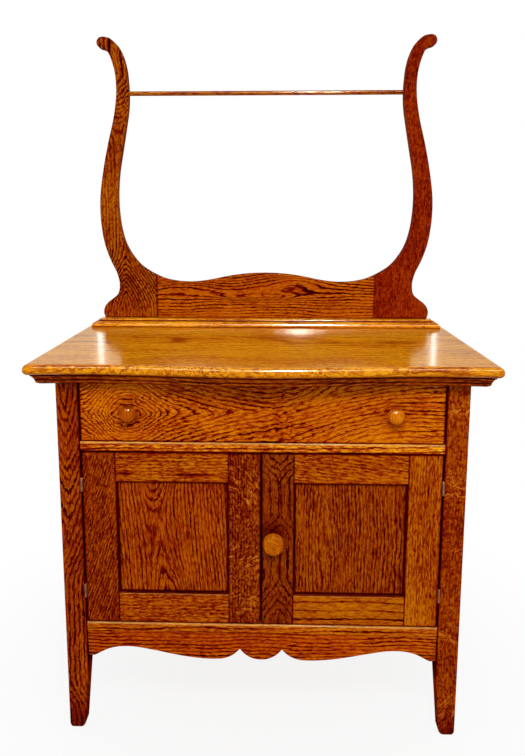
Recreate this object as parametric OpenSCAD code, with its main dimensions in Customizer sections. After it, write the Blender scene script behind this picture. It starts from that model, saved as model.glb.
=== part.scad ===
// Oak washstand with a serpentine top, one drawer, two cupboard doors and a lyre-shaped towel harp.
// Millimetres, +Z up, front towards -Y, origin on the floor under the middle of the outer box.

/* [Case] */
// Width across the outer faces of the legs
case_w = 745; // [660:1:860]
// Depth from the faces of the front legs to the backs of the rear legs
case_d = 424; // [390:1:480]
// Length of a leg, from the floor to the underside of the top
leg_h = 712; // [690:1:780]
// Width of a leg, seen from the front
leg_w = 41; // [38:1:48]
// Depth of a leg, from front to back
leg_d = 38; // [36:1:46]
// Height of the tapered part of a leg
taper_h = 150; // [60:1:170]
// How much a foot narrows towards the middle of the case
foot_taper = 10; // [0:1:11]
// How much a foot narrows from front to back
foot_taper_d = 13; // [0:1:14]
// Radius on the inner corner of a foot
foot_r = 13; // [4:1:14]
// Radius on the outer corner of a foot
foot_edge_r = 9; // [2:1:10]
// Radius on the front edge under a foot
foot_ease = 2; // [1:0.5:6]
// Radius on the edge under a foot that is turned to the middle of the case
foot_heel_r = 9; // [2:1:10]

/* [Rails and panels] */
// Thickness of the flat rails across the front
rail_t = 18; // [16:1:22]
// Depth of the flat rails across the front
rail_d = 60; // [50:1:80]
// Thickness of the upright rails at the sides and back
frame_t = 18; // [16:1:19]
// Height of the upper rails at the sides and back
frame_top_h = 70; // [50:1:90]
// Height of the lower rails at the sides and back
frame_foot_h = 76; // [50:1:100]
// How far the side and back rails lie behind the faces of the legs
frame_set = 4; // [2:0.5:5]
// Thickness of the side, back and door panels
panel_t = 8; // [6:0.5:9]
// Depth of the grooves that hold the panels
groove_d = 8; // [5:0.5:10]
// Thickness of the cupboard floor
floor_t = 12; // [10:1:14]
// Length of the tenons of the case
tenon_l = 20; // [12:1:20]
// Thickness of the tenons of the case
tenon_t = 8; // [6:0.5:9]
// Clearance of a glued joint on each side
joint_gap = 0.1; // [0.05:0.05:0.2]

/* [Apron] */
// Height of the apron under the lower rail
apron_h = 57; // [45:1:80]
// Thickness of the apron
apron_t = 18; // [14:1:22]
// How far the apron lies behind the faces of the legs
apron_set = 3; // [1:0.5:6]
// Height of the two long arches above the lowest line
apron_arch = 23; // [10:1:30]
// Distance of the long arches from the middle
apron_arch_x = 255; // [230:1:275]
// Distance of the lowest points of the side lobes from the middle
apron_lobe_x = 92; // [80:1:120]
// Distance of the cusps from the middle
apron_cusp_x = 40; // [30:1:50]
// Height of the cusps above the lowest line
apron_cusp = 21.5; // [10:0.5:26]

/* [Top] */
// Thickness of the top
top_t = 20; // [18:1:26]
// Overhang of the top past the legs at each side
top_side_over = 45; // [44:0.5:60]
// Overhang of the top past the front legs at its corners
top_front_over = 47; // [44:1:60]
// Overhang of the top past the case at the back
top_back_over = 12; // [4:1:20]
// How far the middle of the front edge swells past the corners
top_bulge = 16; // [6:0.5:20]
// How far the front edge falls back between the middle and the corners
top_dip = 5; // [0:0.5:8]
// Distance of each dip of the front edge from the middle
top_dip_x = 310; // [250:1:330]
// Radius of the front corners, seen from above
top_corner_r = 8; // [3:1:14]
// Run of the rounded nose across the upper face
nose_up = 9; // [4:0.5:12]
// Run of the rounded nose across the underside
nose_down = 14.5; // [4:0.5:18]
// Height of the nose above the underside
nose_h = 9; // [4:0.5:12]

/* [Moulding under the top] */
// Height of the moulding
moulding_h = 18; // [12:1:18]
// Projection of the moulding from the legs at the top
moulding_out = 34; // [28:0.5:36]
// Projection of the moulding from the legs at its foot
moulding_foot = 22.5; // [12:0.5:26]

/* [Drawer] */
// Height of the drawer's opening
drawer_open_h = 113; // [95:1:130]
// Thickness of the drawer's front
drawer_front_t = 20; // [18:1:22]
// Room between the drawer's back and the back of the case
drawer_back_room = 34; // [29:1:84]
// Thickness of the drawer's sides and back
drawer_side_t = 12; // [10:1:14]
// Thickness of the drawer's bottom
drawer_bottom_t = 6; // [5:0.5:8]
// Height of the underside of the bottom above the lower edge
drawer_bottom_up = 13; // [12:0.5:18]
// Gap at each side of the drawer
drawer_gap = 2; // [1.5:0.1:3]
// Gap above the drawer
drawer_top_gap = 2; // [1:0.1:3]
// Gap between the drawer and what it runs on
run_gap = 0.5; // [0.3:0.1:0.8]
// Length of the dovetails at the front
tail_l = 14; // [10:1:15]
// Number of dovetails at each corner
tails = 3; // [2:1:4]
// Distance of the drawer's knobs from the middle
drawer_knob_x = 240; // [150:1:290]
// Diameter of the drawer's knobs
drawer_knob_d = 30; // [24:1:36]
// Projection of the drawer's knobs
drawer_knob_l = 24; // [20:1:32]

/* [Doors] */
// Height of the cupboard's opening
door_open_h = 339; // [300:1:350]
// Thickness of the doors
door_t = 20; // [18:1:22]
// Width of the stiles beside the legs
hinge_stile_w = 63; // [50:1:80]
// Width of the stiles that meet in the middle
meeting_stile_w = 60; // [50:1:75]
// Height of the doors' upper rails
door_top_rail_h = 57; // [45:1:75]
// Height of the doors' lower rails
door_foot_rail_h = 60; // [45:1:80]
// How far the doors' panels lie behind the faces of their frames
door_panel_set = 6; // [4:0.5:6.5]
// Gap between a door and its leg
hinge_gap = 1.2; // [0.8:0.1:2]
// Gap between the two doors
meet_gap = 2; // [1.8:0.1:3]
// Gap above and below the doors
door_gap = 1.5; // [1:0.1:2.5]
// Length of the doors' tenons
door_tenon_l = 25; // [15:1:30]
// Diameter of the door's knob
door_knob_d = 40; // [32:1:44]
// Projection of the door's knob
door_knob_l = 27; // [22:1:34]
// Distance of the door's knob from the gap between the doors
door_knob_x = 22; // [22:1:34]

/* [Hinges and catches] */
// Height of a hinge
hinge_h = 24.6; // [20:0.2:34]
// Distance of a hinge's middle from the end of the door
hinge_inset = 63; // [40:1:90]
// Thickness of a hinge leaf
leaf_t = 1.5; // [1.2:0.1:1.8]
// Depth of a hinge leaf into the case
leaf_w = 17; // [14:0.5:18]
// Diameter of a hinge's barrel
barrel_d = 4.8; // [4.6:0.1:6]
// Diameter of a hinge pin
pin_d = 2.2; // [1.8:0.1:2.4]
// Running clearance of pins, spindles and bolts, on the radius
run_fit = 0.06; // [0.02:0.01:0.1]
// Diameter of the shank of a hinge screw
screw_d = 2.6; // [2:0.1:2.8]
// Diameter of the head of a hinge screw
screw_head_d = 5.2; // [4.4:0.1:5.4]
// Length of a hinge screw
screw_l = 14; // [8:1:18]
// Diameter of the latch's spindle
spindle_d = 8; // [6:0.5:9]
// Reach of the latch's tongue from its spindle
tongue_l = 38; // [36:1:44]
// Width of the latch's tongue
tongue_w = 14; // [13:0.5:18]
// Thickness of the latch's tongue and of the bolt's plate
plate_t = 2.5; // [1.5:0.5:3]
// Gap between the latch's tongue and the backs of the doors
tongue_gap = 0.5; // [0.3:0.1:1]
// Diameter of the left door's bolt
bolt_d = 6; // [5:0.5:7]
// Throw of the left door's bolt
bolt_throw = 10; // [6:0.5:12]

/* [Harp] */
// Height of the moulded ledge that the harp stands on
ledge_h = 19; // [14:0.5:26]
// Depth of the housing in the top that the ledge stands in
ledge_seat = 1; // [0.5:0.5:3]
// Run of the ledge's moulding in front of the harp and past its feet
ledge_run = 24; // [16:0.5:28]
// Thickness of the harp's boards
harp_t = 21; // [18:1:24]
// Distance of the harp's back from the back edge of the top
harp_back_gap = 3; // [0:0.5:6]
// Height of the harp above the ledge
harp_h = 630; // [620:1:650]
// Width across the feet of the harp
harp_w = 758.5; // [740:0.5:764]
// Width across the narrow waist above the feet
waist_w = 680; // [670:1:700]
// Height of the waist above the ledge
waist_h = 77; // [70:1:90]
// Width across the belly of the lyre
belly_w = 760.5; // [740:0.5:780]
// Height of the outer belly above the ledge
belly_h = 258; // [240:1:290]
// Width of each post at the belly of the lyre
belly_post_w = 41.5; // [34:0.5:55]
// Width across the necks at the towel rod
neck_w = 671; // [662:1:690]
// Width of each post at the towel rod
neck_post_w = 27.75; // [24:0.25:34]
// Width across the tips of the lyre
tip_w = 753; // [730:0.5:770]
// Radius of the round tips
tip_r = 12.5; // [9:0.5:15]
// Height of the undersides of the tips above the ledge
tip_h = 603.5; // [590:0.5:606]
// Width of the crest board between the joints
crest_w = 509; // [480:1:530]
// Height of the joints between crest and posts
crest_joint_h = 101; // [96:1:112]
// Height of the crest in the middle
crest_h = 105.5; // [96:0.5:120]
// Height of the two dips of the crest
crest_dip_h = 84.5; // [80:0.5:92]
// Distance of the two dips of the crest from the middle
crest_dip_x = 172; // [150:1:190]
// Diameter of the towel rod
rod_d = 10; // [8:0.5:14]
// Height of the towel rod above the ledge
rod_h = 509; // [480:1:530]
// Clearance of the towel rod in its sockets, on the radius
rod_fit = 0.3; // [0.1:0.1:0.6]
// Depth of the rod's sockets in the posts
rod_socket = 12; // [6:1:16]
// Diameter of the dowels between crest and posts
dowel_d = 8; // [6:0.5:10]
// Length of the dowels between crest and posts
dowel_l = 44; // [30:1:50]

/* [Screws] */
// Diameter of the shank of the screws that hold the top
top_screw_d = 4.2; // [3.5:0.1:5]
// Diameter of the heads of the screws that hold the top
top_screw_head_d = 8; // [7:0.1:9]
// Depth of those screws in the top
top_screw_in = 12; // [8:1:13]
// Diameter of the shank of the screws that hold the harp
harp_screw_d = 5; // [4:0.1:6]
// Diameter of the heads of the screws that hold the harp
harp_screw_head_d = 9; // [8:0.1:11]
// Depth of those screws in the harp
harp_screw_in = 26; // [15:1:30]

/* [Hidden] */

// Colours of the oak, the brass and the steel
oak = [0.66, 0.36, 0.12];
oak_gold = [0.76, 0.46, 0.18];
oak_red = [0.55, 0.25, 0.08];
oak_plain = [0.80, 0.66, 0.44];
brass = [0.72, 0.52, 0.26];
steel = [0.55, 0.55, 0.57];

// Smoothness of round pieces, and the number of steps in each stretch of a curve
round_fn = 48;
curve_n = 5;
sweep_n = 56;

// Plan of the top and the case
top_w = case_w + 2 * top_side_over;
top_d = top_front_over + case_d + top_back_over;
back_y = (top_d + top_bulge) / 2;
corner_y = back_y - top_d;
face_y = corner_y + top_front_over;
case_back_y = face_y + case_d;
out_x = case_w / 2;
in_x = out_x - leg_w;
leg_back_y = face_y + leg_d;
rear_leg_y = case_back_y - leg_d;

// Heights of the rails, counted down from the top
top_z = leg_h + top_t;
drawer_top_z = leg_h - rail_t;
drawer_floor_z = drawer_top_z - drawer_open_h;
door_top_z = drawer_floor_z - rail_t;
door_foot_z = door_top_z - door_open_h;
apron_top_z = door_foot_z - rail_t;
apron_z = apron_top_z - apron_h;

// Side and back frames
frame_x = out_x - frame_set;
frame_in_x = frame_x - frame_t;
back_frame_y = case_back_y - frame_set;
back_frame_in_y = back_frame_y - frame_t;
frame_top_z = leg_h - frame_top_h;
frame_foot_z = apron_top_z + frame_foot_h;
rail_back_y = face_y + rail_d;

// Shoulders of the tenons, and the extra depth of a mortise
shoulder = 5;
mortise_spare = 1;
panel_spare = 0.5;
floor_in = 6;
frame_tenon_zs = [
    [apron_top_z + shoulder, frame_foot_z - groove_d],
    [frame_top_z + groove_d, leg_h - shoulder]
];

// Drawer
drawer_x = in_x - drawer_gap;
drawer_z = drawer_floor_z + run_gap;
drawer_h = drawer_open_h - run_gap - drawer_top_gap;
drawer_back_y = case_back_y - drawer_back_room;
drawer_front_in_y = face_y + drawer_front_t;
drawer_side_in_x = drawer_x - drawer_side_t;
drawer_bottom_z = drawer_z + drawer_bottom_up;
drawer_bottom_top_z = drawer_bottom_z + drawer_bottom_t;
drawer_groove = 6;
drawer_back_drop = 12;
bottom_fit = 0.2;
guide_gap = 1;
guide_h = 19;
runner_in = 20;
stop_h = 8;
stop_l = 24;
stop_w = 40;
stop_x = 200;
knob_z = drawer_z + drawer_h / 2;
knob_tenon_d = 12;
knob_tenon_l = drawer_front_t - 2;

// Doors: x of each edge, counted from the middle
door_out_x = in_x - hinge_gap;
door_in_x = meet_gap / 2;
door_z = door_foot_z + door_gap;
door_h = door_open_h - 2 * door_gap;
door_back_y = face_y + door_t;
door_panel_y = face_y + door_panel_set;
stile_in_x = door_out_x - hinge_stile_w;
meet_x = door_in_x + meeting_stile_w;
door_mid_z = door_z + door_h / 2;

// Hinges: the axis stands in front of the gap beside the door
hinge_x = in_x - hinge_gap / 2;
hinge_y = face_y - barrel_d / 2 - 0.1;
hinge_zs = [door_z + hinge_inset, door_z + door_h - hinge_inset];
knuckle_gap = 0.25;
knuckle_h = (hinge_h - 2 * knuckle_gap) / 3;
screw_off = hinge_h / 4;
screw_y = face_y + leaf_w * 0.6;
head_h = (screw_head_d - screw_d) / 2;
pilot_gap = 0.05;

// Latch on the right door and bolt on the left door
latch_x = door_knob_x + meet_gap / 2;
spindle_in_knob = 12;
bolt_x = -(door_in_x + meeting_stile_w / 2);
bolt_y = door_back_y + plate_t + bolt_d / 2 + 1.5;
bolt_tip_z = door_z + door_h - 1;
bolt_l = 74;
bolt_plate_w = 26;
staple_h = 8;
staple_wall = 2.5;

// Harp
harp_back_y = back_y - harp_back_gap;
harp_y = harp_back_y - harp_t;
ledge_x = harp_w / 2 + ledge_run;
ledge_y = harp_y - ledge_run;
harp_z = top_z + ledge_h;
belly_in_w = belly_w - 2 * belly_post_w;
neck_in_w = neck_w - 2 * neck_post_w;
rod_z = harp_z + rod_h;
rod_y = harp_y + harp_t / 2;
joint_x = crest_w / 2;
harp_screw_xs = [0, 175, 285, 345];
dowel_hs = [18, 46, 74];
kicker_screw_ys = [rail_back_y + 60, rear_leg_y - 60];
rail_screw_xs = [0, 230];

// Straight and curved shapes

// A board between its lowest and its highest corner
module board(low, high) {
    translate(low) cube(high - low);
}

// The cut that takes a board with a clearance on every side
module pocket(low, high, gap = joint_gap) {
    board(low - gap * [1, 1, 1], high + gap * [1, 1, 1]);
}

// A piece drawn on the right, or its mirror image on the left
module sided(side) {
    if (side < 0) mirror([1, 0, 0]) children();
    else children();
}

// Both the right-hand piece and its mirror image
module both_sides() {
    children();
    mirror([1, 0, 0]) children();
}

// A rod along +X, +Y or +Z from a point
module rod_x(p, d, l) { translate(p) rotate([0, 90, 0]) cylinder(d = d, h = l, $fn = round_fn); }
module rod_y(p, d, l) { translate(p) rotate([-90, 0, 0]) cylinder(d = d, h = l, $fn = round_fn); }
module rod_z(p, d, l) { translate(p) cylinder(d = d, h = l, $fn = round_fn); }

// A front view drawn as [x, z], made t thick from y backwards
module front_cut(y, t) { translate([0, y + t, 0]) rotate([90, 0, 0]) linear_extrude(t) children(); }

// A side view drawn as [y, z], made t thick from x to the right
module side_cut(x, t) { translate([x, 0, 0]) rotate([90, 0, 90]) linear_extrude(t) children(); }

// Points on an arc from angle a to angle b
function arc(c, r, a, b, n) = [for (i = [0 : n]) let (t = a + (b - a) * i / n) c + r * [cos(t), sin(t)]];

// The point that lies the shares u and v of the way from a to b
function mix(a, b, u, v) = [a.x + (b.x - a.x) * u, a.y + (b.y - a.y) * v];

// Direction of a smooth curve at knot i of the list k
function slope(k, i) =
    i == 0 ? (k[1] - k[0]) / norm(k[1] - k[0])
    : i == len(k) - 1 ? (k[i] - k[i - 1]) / norm(k[i] - k[i - 1])
    : let (p = norm(k[i] - k[i - 1]), q = norm(k[i + 1] - k[i]))
        ((k[i] - k[i - 1]) * q / p + (k[i + 1] - k[i]) * p / q) / (p + q);

// Points on a smooth curve through the knots k
function curve(k) = [
    for (i = [0 : len(k) - 2], s = [0 : curve_n - 1])
        let (u = s / curve_n, h = norm(k[i + 1] - k[i]), v = u * u, w = u * u * u)
            (2 * w - 3 * v + 1) * k[i] + (w - 2 * v + u) * h * slope(k, i)
            + (3 * v - 2 * w) * k[i + 1] + (w - v) * h * slope(k, i + 1),
    k[len(k) - 1]
];

// A closed solid through rings of equally many points, from the lowest ring to the highest
module skin(rings) {
    n = len(rings[0]);
    m = len(rings);
    polyhedron(
        points = [for (r = rings) each r],
        faces = concat(
            [[for (i = [0 : n - 1]) i]],
            [[for (i = [n - 1 : -1 : 0]) (m - 1) * n + i]],
            [for (j = [0 : m - 2], i = [0 : n - 1])
                let (k = (i + 1) % n, a = j * n, b = a + n)
                each [[a + i, b + i, b + k], [a + i, b + k, a + k]]]
        )
    );
}

// Countersunk screw: its head's face at the origin, its shank along -Z
module screw(d, head_d, l) {
    h = (head_d - d) / 2;
    rotate_extrude($fn = round_fn) polygon([[0, 0], [head_d / 2, 0], [d / 2, -h], [d / 2, d - l], [0, -l]]);
}

// The hole for that screw
module screw_hole(d, head_d, l) {
    r = d / 2 + pilot_gap;
    head_r = head_d / 2 + pilot_gap;
    rotate_extrude($fn = round_fn)
        polygon([[0, 1], [head_r, 1], [head_r, 0], [r, r - head_r], [r, -l - 1], [0, -l - 1]]);
}

// Legs

// Outline of a leg from the front, for the right-hand side
function leg_front() = concat(
    [[in_x, leg_h], [in_x, taper_h]],
    arc([in_x + foot_taper + foot_r, foot_r], foot_r, 180, 270, 6),
    arc([out_x - foot_edge_r, foot_edge_r], foot_edge_r, -90, 0, 6),
    [[out_x, leg_h]]
);

// Outline of a front leg from the side, from y = 0 at its face
function leg_side() = concat(
    [[0, leg_h]],
    arc([foot_ease, foot_ease], foot_ease, 180, 270, 3),
    arc([leg_d - foot_taper_d - foot_heel_r, foot_heel_r], foot_heel_r, -90, 0, 5),
    [[leg_d, taper_h], [leg_d, leg_h]]
);

module leg_blank(y) {
    intersection() {
        front_cut(y, leg_d) polygon(leg_front());
        translate([0, y, 0]) side_cut(in_x, leg_w) polygon(leg_side());
    }
}

module front_leg(side) {
    color(oak) sided(side) difference() {
        leg_blank(face_y);
        for (z = [drawer_top_z, door_top_z, apron_top_z]) front_tenon(z, true);
        apron_tenon(true);
        side_tenon(true, leg_back_y, -1);
        side_panel_board(true);
        both_hinges() leaf_mortise(1);
        both_hinges() leaf_screws(1) screw_hole(screw_d, screw_head_d, screw_l);
    }
}

module rear_leg(side) {
    color(oak) sided(side) difference() {
        translate([0, rear_leg_y + case_back_y, 0]) mirror([0, 1, 0]) leg_blank(rear_leg_y);
        side_tenon(true, rear_leg_y, 1);
        side_panel_board(true);
        back_tenons(true);
        back_panel_board(true);
    }
}

// Rails across the front

// The right-hand tenon of the flat rail whose underside is at z, or its mortise
module front_tenon(z, cut = false) {
    low = [in_x - 1, face_y + shoulder + 3, z + (rail_t - tenon_t) / 2];
    high = [in_x + tenon_l, leg_back_y - shoulder - 3, z + (rail_t + tenon_t) / 2];
    if (cut) pocket(low, high + [mortise_spare, 0, 0]);
    else board(low, high);
}

module front_rail(z) {
    board([-in_x, face_y, z], [in_x, rail_back_y, z + rail_t]);
    both_sides() front_tenon(z);
}

module top_front_rail() {
    color(oak) difference() {
        front_rail(drawer_top_z);
        rail_screws() screw_hole(top_screw_d, top_screw_head_d, rail_t + top_screw_in);
    }
}

module drawer_rail() {
    color(oak_gold) difference() {
        front_rail(door_top_z);
        bolt_hole();
        both_sides() runner_tongue(true);
    }
}

module bottom_rail() {
    color(oak_gold) difference() {
        front_rail(apron_top_z);
        floor_board(true);
    }
}

// The right-hand tenon of the apron, or its mortise
module apron_tenon(cut = false) {
    y = face_y + apron_set + (apron_t - tenon_t) / 2;
    low = [in_x - 1, y, apron_z + apron_h / 4];
    high = [in_x + tenon_l, y + tenon_t, apron_top_z - shoulder];
    if (cut) pocket(low, high + [mortise_spare, 0, 0]);
    else board(low, high);
}

// Lower edge of the apron on the right, as [x, height above the lowest line]
function apron_edge() =
    let (
        horn = [in_x - 10, 3.5],
        arch = [apron_arch_x, apron_arch],
        lobe = [apron_lobe_x, 0],
        cusp = [apron_cusp_x, apron_cusp],
        r = (pow(apron_cusp_x, 2) + pow(apron_cusp, 2)) / (2 * apron_cusp),
        half = asin(apron_cusp_x / r)
    )
    concat(
        curve([
            [in_x, 4.5], horn, mix(horn, arch, 0.19, 0.29), mix(horn, arch, 0.37, 0.61),
            mix(horn, arch, 0.56, 0.84), arch, mix(arch, lobe, 0.31, 0.3), mix(arch, lobe, 0.52, 0.61),
            mix(arch, lobe, 0.74, 0.87), lobe, mix(lobe, cusp, 0.38, 0.06), mix(lobe, cusp, 0.63, 0.27),
            mix(lobe, cusp, 0.82, 0.57), cusp
        ]),
        arc([0, r], r, half - 90, -90, 6)
    );

module front_apron() {
    edge = apron_edge();
    left = [for (i = [len(edge) - 2 : -1 : 0]) [-edge[i].x, edge[i].y]];
    color(oak) union() {
        front_cut(face_y + apron_set, apron_t) translate([0, apron_z])
            polygon(concat([[-in_x, apron_h], [in_x, apron_h]], edge, left));
        both_sides() apron_tenon();
    }
}

// Side and back frames

// The right-hand side rails' tenons at the joint with a leg, or their mortises; way is -1 or 1 in y
module side_tenon(cut, y, way) {
    x = frame_in_x + (frame_t - tenon_t) / 2;
    reach = tenon_l - 1 + (cut ? mortise_spare : 0);
    for (z = frame_tenon_zs) {
        y0 = way < 0 ? y - reach : y - 1;
        low = [x, y0, z[0]];
        high = [x + tenon_t, y0 + reach + 1, z[1]];
        if (cut) pocket(low, high);
        else board(low, high);
    }
}

module side_rail(side, low_z, high_z) {
    color(oak) sided(side) difference() {
        union() {
            board([frame_in_x, leg_back_y, low_z], [frame_x, rear_leg_y, high_z]);
            intersection() {
                union() {
                    side_tenon(false, leg_back_y, -1);
                    side_tenon(false, rear_leg_y, 1);
                }
                board([0, face_y, low_z], [out_x, case_back_y, high_z]);
            }
        }
        side_panel_board(true);
        floor_board(true);
    }
}

module side_panel_board(cut = false) {
    x = frame_in_x + (frame_t - panel_t) / 2;
    d = groove_d - panel_spare;
    low = [x, leg_back_y - d, frame_foot_z - d];
    high = [x + panel_t, rear_leg_y + d, frame_top_z + d];
    if (cut) pocket(low - panel_spare * [0, 1, 1], high + panel_spare * [0, 1, 1]);
    else board(low, high);
}

module side_panel(side) { color(oak_red) sided(side) side_panel_board(); }

// The right-hand back rails' tenons, or their mortises in the rear leg
module back_tenons(cut) {
    y = back_frame_in_y + (frame_t - tenon_t) / 2;
    for (z = frame_tenon_zs) {
        low = [in_x - 1, y, z[0]];
        high = [in_x + tenon_l, y + tenon_t, z[1]];
        if (cut) pocket(low, high + [mortise_spare, 0, 0]);
        else board(low, high);
    }
}

module back_rail(low_z, high_z) {
    color(oak_plain) difference() {
        union() {
            board([-in_x, back_frame_in_y, low_z], [in_x, back_frame_y, high_z]);
            intersection() {
                both_sides() back_tenons(false);
                board([-out_x, face_y, low_z], [out_x, case_back_y, high_z]);
            }
        }
        back_panel_board(true);
        floor_board(true);
    }
}

module back_panel_board(cut = false) {
    y = back_frame_in_y + (frame_t - panel_t) / 2;
    d = groove_d - panel_spare;
    low = [-in_x - d, y, frame_foot_z - d];
    high = [in_x + d, y + panel_t, frame_top_z + d];
    if (cut) pocket(low - panel_spare * [1, 0, 1], high + panel_spare * [1, 0, 1]);
    else board(low, high);
}

module back_panel() { color(oak_plain) back_panel_board(); }

// The cupboard's floor, let into the rails around it
module floor_board(cut = false) {
    side_x = frame_in_x + floor_in;
    front = rail_back_y - floor_in;
    rear = back_frame_in_y + floor_in;
    z = door_foot_z - floor_t;
    outline = [
        [-in_x, front], [in_x, front], [in_x, leg_back_y], [side_x, leg_back_y], [side_x, rear_leg_y],
        [in_x, rear_leg_y], [in_x, rear], [-in_x, rear], [-in_x, rear_leg_y], [-side_x, rear_leg_y],
        [-side_x, leg_back_y], [-in_x, leg_back_y]
    ];
    edge_x = in_x - joint_gap;
    if (cut) {
        pocket([-edge_x, front, z], [edge_x, rear, z + floor_t]);
        both_sides() pocket([in_x + joint_gap, leg_back_y, z], [side_x, rear_leg_y, z + floor_t]);
    }
    else translate([0, 0, z]) linear_extrude(floor_t) polygon(outline);
}

module cabinet_floor() { color(oak_plain) floor_board(); }

// Drawer runners, kickers and stops

// The tongue of the right-hand runner in the drawer rail, or its groove
module runner_tongue(cut = false) {
    low = [in_x - runner_in, rail_back_y - 8, door_top_z + 6];
    high = [in_x - 3, rail_back_y + 1, door_top_z + rail_t - 6];
    if (cut) pocket(low, high);
    else board(low, high);
}

module drawer_runners() {
    color(oak_plain) both_sides() {
        board([in_x - runner_in, rail_back_y, door_top_z], [frame_in_x, rear_leg_y, drawer_floor_z]);
        board([in_x, leg_back_y, door_top_z], [frame_in_x, rail_back_y, drawer_floor_z]);
        board([in_x - guide_gap, rail_back_y, drawer_floor_z - 1],
              [frame_in_x, rear_leg_y, drawer_floor_z + guide_h]);
        runner_tongue();
    }
}

module kicker_screws() {
    for (side = [-1, 1], y = kicker_screw_ys)
        translate([side * in_x, y, drawer_top_z]) mirror([0, 0, 1]) children();
}

module rail_screws() {
    for (x = [-rail_screw_xs[1], rail_screw_xs[0], rail_screw_xs[1]])
        translate([x, rail_back_y - rail_d / 3, drawer_top_z]) mirror([0, 0, 1]) children();
}

module drawer_kickers() {
    color(oak_plain) difference() {
        both_sides()
            board([in_x - runner_in, rail_back_y, drawer_top_z], [frame_in_x, rear_leg_y, leg_h]);
        kicker_screws() screw_hole(top_screw_d, top_screw_head_d, rail_t + top_screw_in);
    }
}

module drawer_stops() {
    color(oak_plain) both_sides()
        board([stop_x - stop_w / 2, drawer_front_in_y + run_gap, drawer_floor_z],
              [stop_x + stop_w / 2, drawer_front_in_y + run_gap + stop_l, drawer_floor_z + stop_h]);
}

// Tabletop and the moulding under it

// How far the front edge stands behind its corners at x
function swell(x) =
    let (u = abs(x))
    u < top_dip_x
        ? -(top_bulge - top_dip) / 2 - (top_bulge + top_dip) / 2 * cos(180 * u / top_dip_x)
        : top_dip * (1 - pow((u - top_dip_x) / (top_w / 2 - top_dip_x), 2));

// Plan of the top, as a ring of points at height z
function plan(half, front, back, r, z) =
    let (
        e = half - r,
        edge = [for (i = [0 : sweep_n]) let (x = -e + 2 * e * i / sweep_n) [x, front + swell(x)]],
        corner = arc([e, front + swell(e) + r], r, -75, 0, 5),
        right = concat(edge, corner, [[half, back], [-half, back]]),
        left = [for (i = [5 : -1 : 0]) [-corner[i].x, corner[i].y]]
    )
    [for (p = concat(right, left)) [p.x, p.y, z]];

// Rings of the rounded nose, as [inset, height above the underside]
function nose() = concat(
    [for (i = [0 : 4]) [nose_down * (1 - sin(i * 18)), nose_h * (1 - cos(i * 18))]],
    [for (i = [0 : 5]) [nose_up * (1 - cos(i * 18)), nose_h + (top_t - nose_h) * sin(i * 18)]]
);

module tabletop() {
    color(oak_gold) difference() {
        skin([for (p = nose())
            plan(top_w / 2 - p[0], corner_y + p[0], back_y, max(top_corner_r - p[0], 0.8), leg_h + p[1])]);
        kicker_screws() screw_hole(top_screw_d, top_screw_head_d, rail_t + top_screw_in);
        rail_screws() screw_hole(top_screw_d, top_screw_head_d, rail_t + top_screw_in);
        harp_screws() screw_hole(harp_screw_d, harp_screw_head_d, top_t + ledge_h + harp_screw_in);
        board([-ledge_x - joint_gap, ledge_y - joint_gap, top_z - ledge_seat],
              [ledge_x + joint_gap, back_y + 1, top_z + 1]);
    }
}

// Rings of the moulding, as [projection, height above its foot]
function moulding_profile() =
    let (
        run = moulding_out - moulding_foot,
        bead = moulding_h * 0.36,
        cove = moulding_h * 0.64 - 3.2
    )
    concat(
        [[moulding_foot - 1.5, 0], [moulding_foot, 1.2]],
        [for (i = [1 : 4]) [moulding_foot + run * 0.42 * sin(i * 22.5), 1.2 + bead * (1 - cos(i * 22.5))]],
        [for (i = [1 : 4]) [moulding_foot + run * (0.42 + 0.145 * i), 1.2 + bead + cove * sin(i * 22.5)]],
        [[moulding_out, moulding_h]]
    );

// Section of the moulding, closed against the case
function moulding_section() = concat([[0, 0]], moulding_profile(), [[0, moulding_h]]);

// The front length follows the swell of the top, which ends at the mitres
module front_moulding() {
    low = leg_h - moulding_h;
    color(oak_red) skin([for (i = [0 : sweep_n])
        let (s = 1 - 2 * i / sweep_n, bend = swell(s * top_w / 2))
        [for (p = moulding_section())
            [s * (out_x + p[0]), face_y - p[0] + (p[0] > 0 ? bend : 0), low + p[1]]]]);
}

// The side lengths are straight
module side_moulding(side) {
    low = leg_h - moulding_h;
    far = moulding_out + 1;
    color(oak_red) sided(side) difference() {
        front_cut(face_y - far, case_back_y - face_y + far)
            polygon([for (p = moulding_section()) [out_x + p[0], low + p[1]]]);
        translate([0, 0, low - 1]) linear_extrude(moulding_h + 2)
            polygon([[out_x - 1, face_y + 1 + joint_gap], [out_x + far + 1, face_y - far - 1 + joint_gap],
                     [out_x - 1, face_y - far - 1]]);
    }
}

// Harp

// Profile of the ledge, as [run from its foot, height above the top]
function ledge_profile() = concat(
    [[0, 0], [0, ledge_h * 0.1]],
    [for (i = [1 : 6]) [ledge_run * 0.56 * (1 - cos(i * 15)), ledge_h * (0.1 + 0.6 * sin(i * 15))]],
    [[ledge_run * 0.56, ledge_h * 0.77]],
    [for (i = [1 : 3]) [ledge_run * (0.56 + 0.44 * i / 3), ledge_h * (0.77 + 0.23 * sin(i * 30))]]
);

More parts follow.
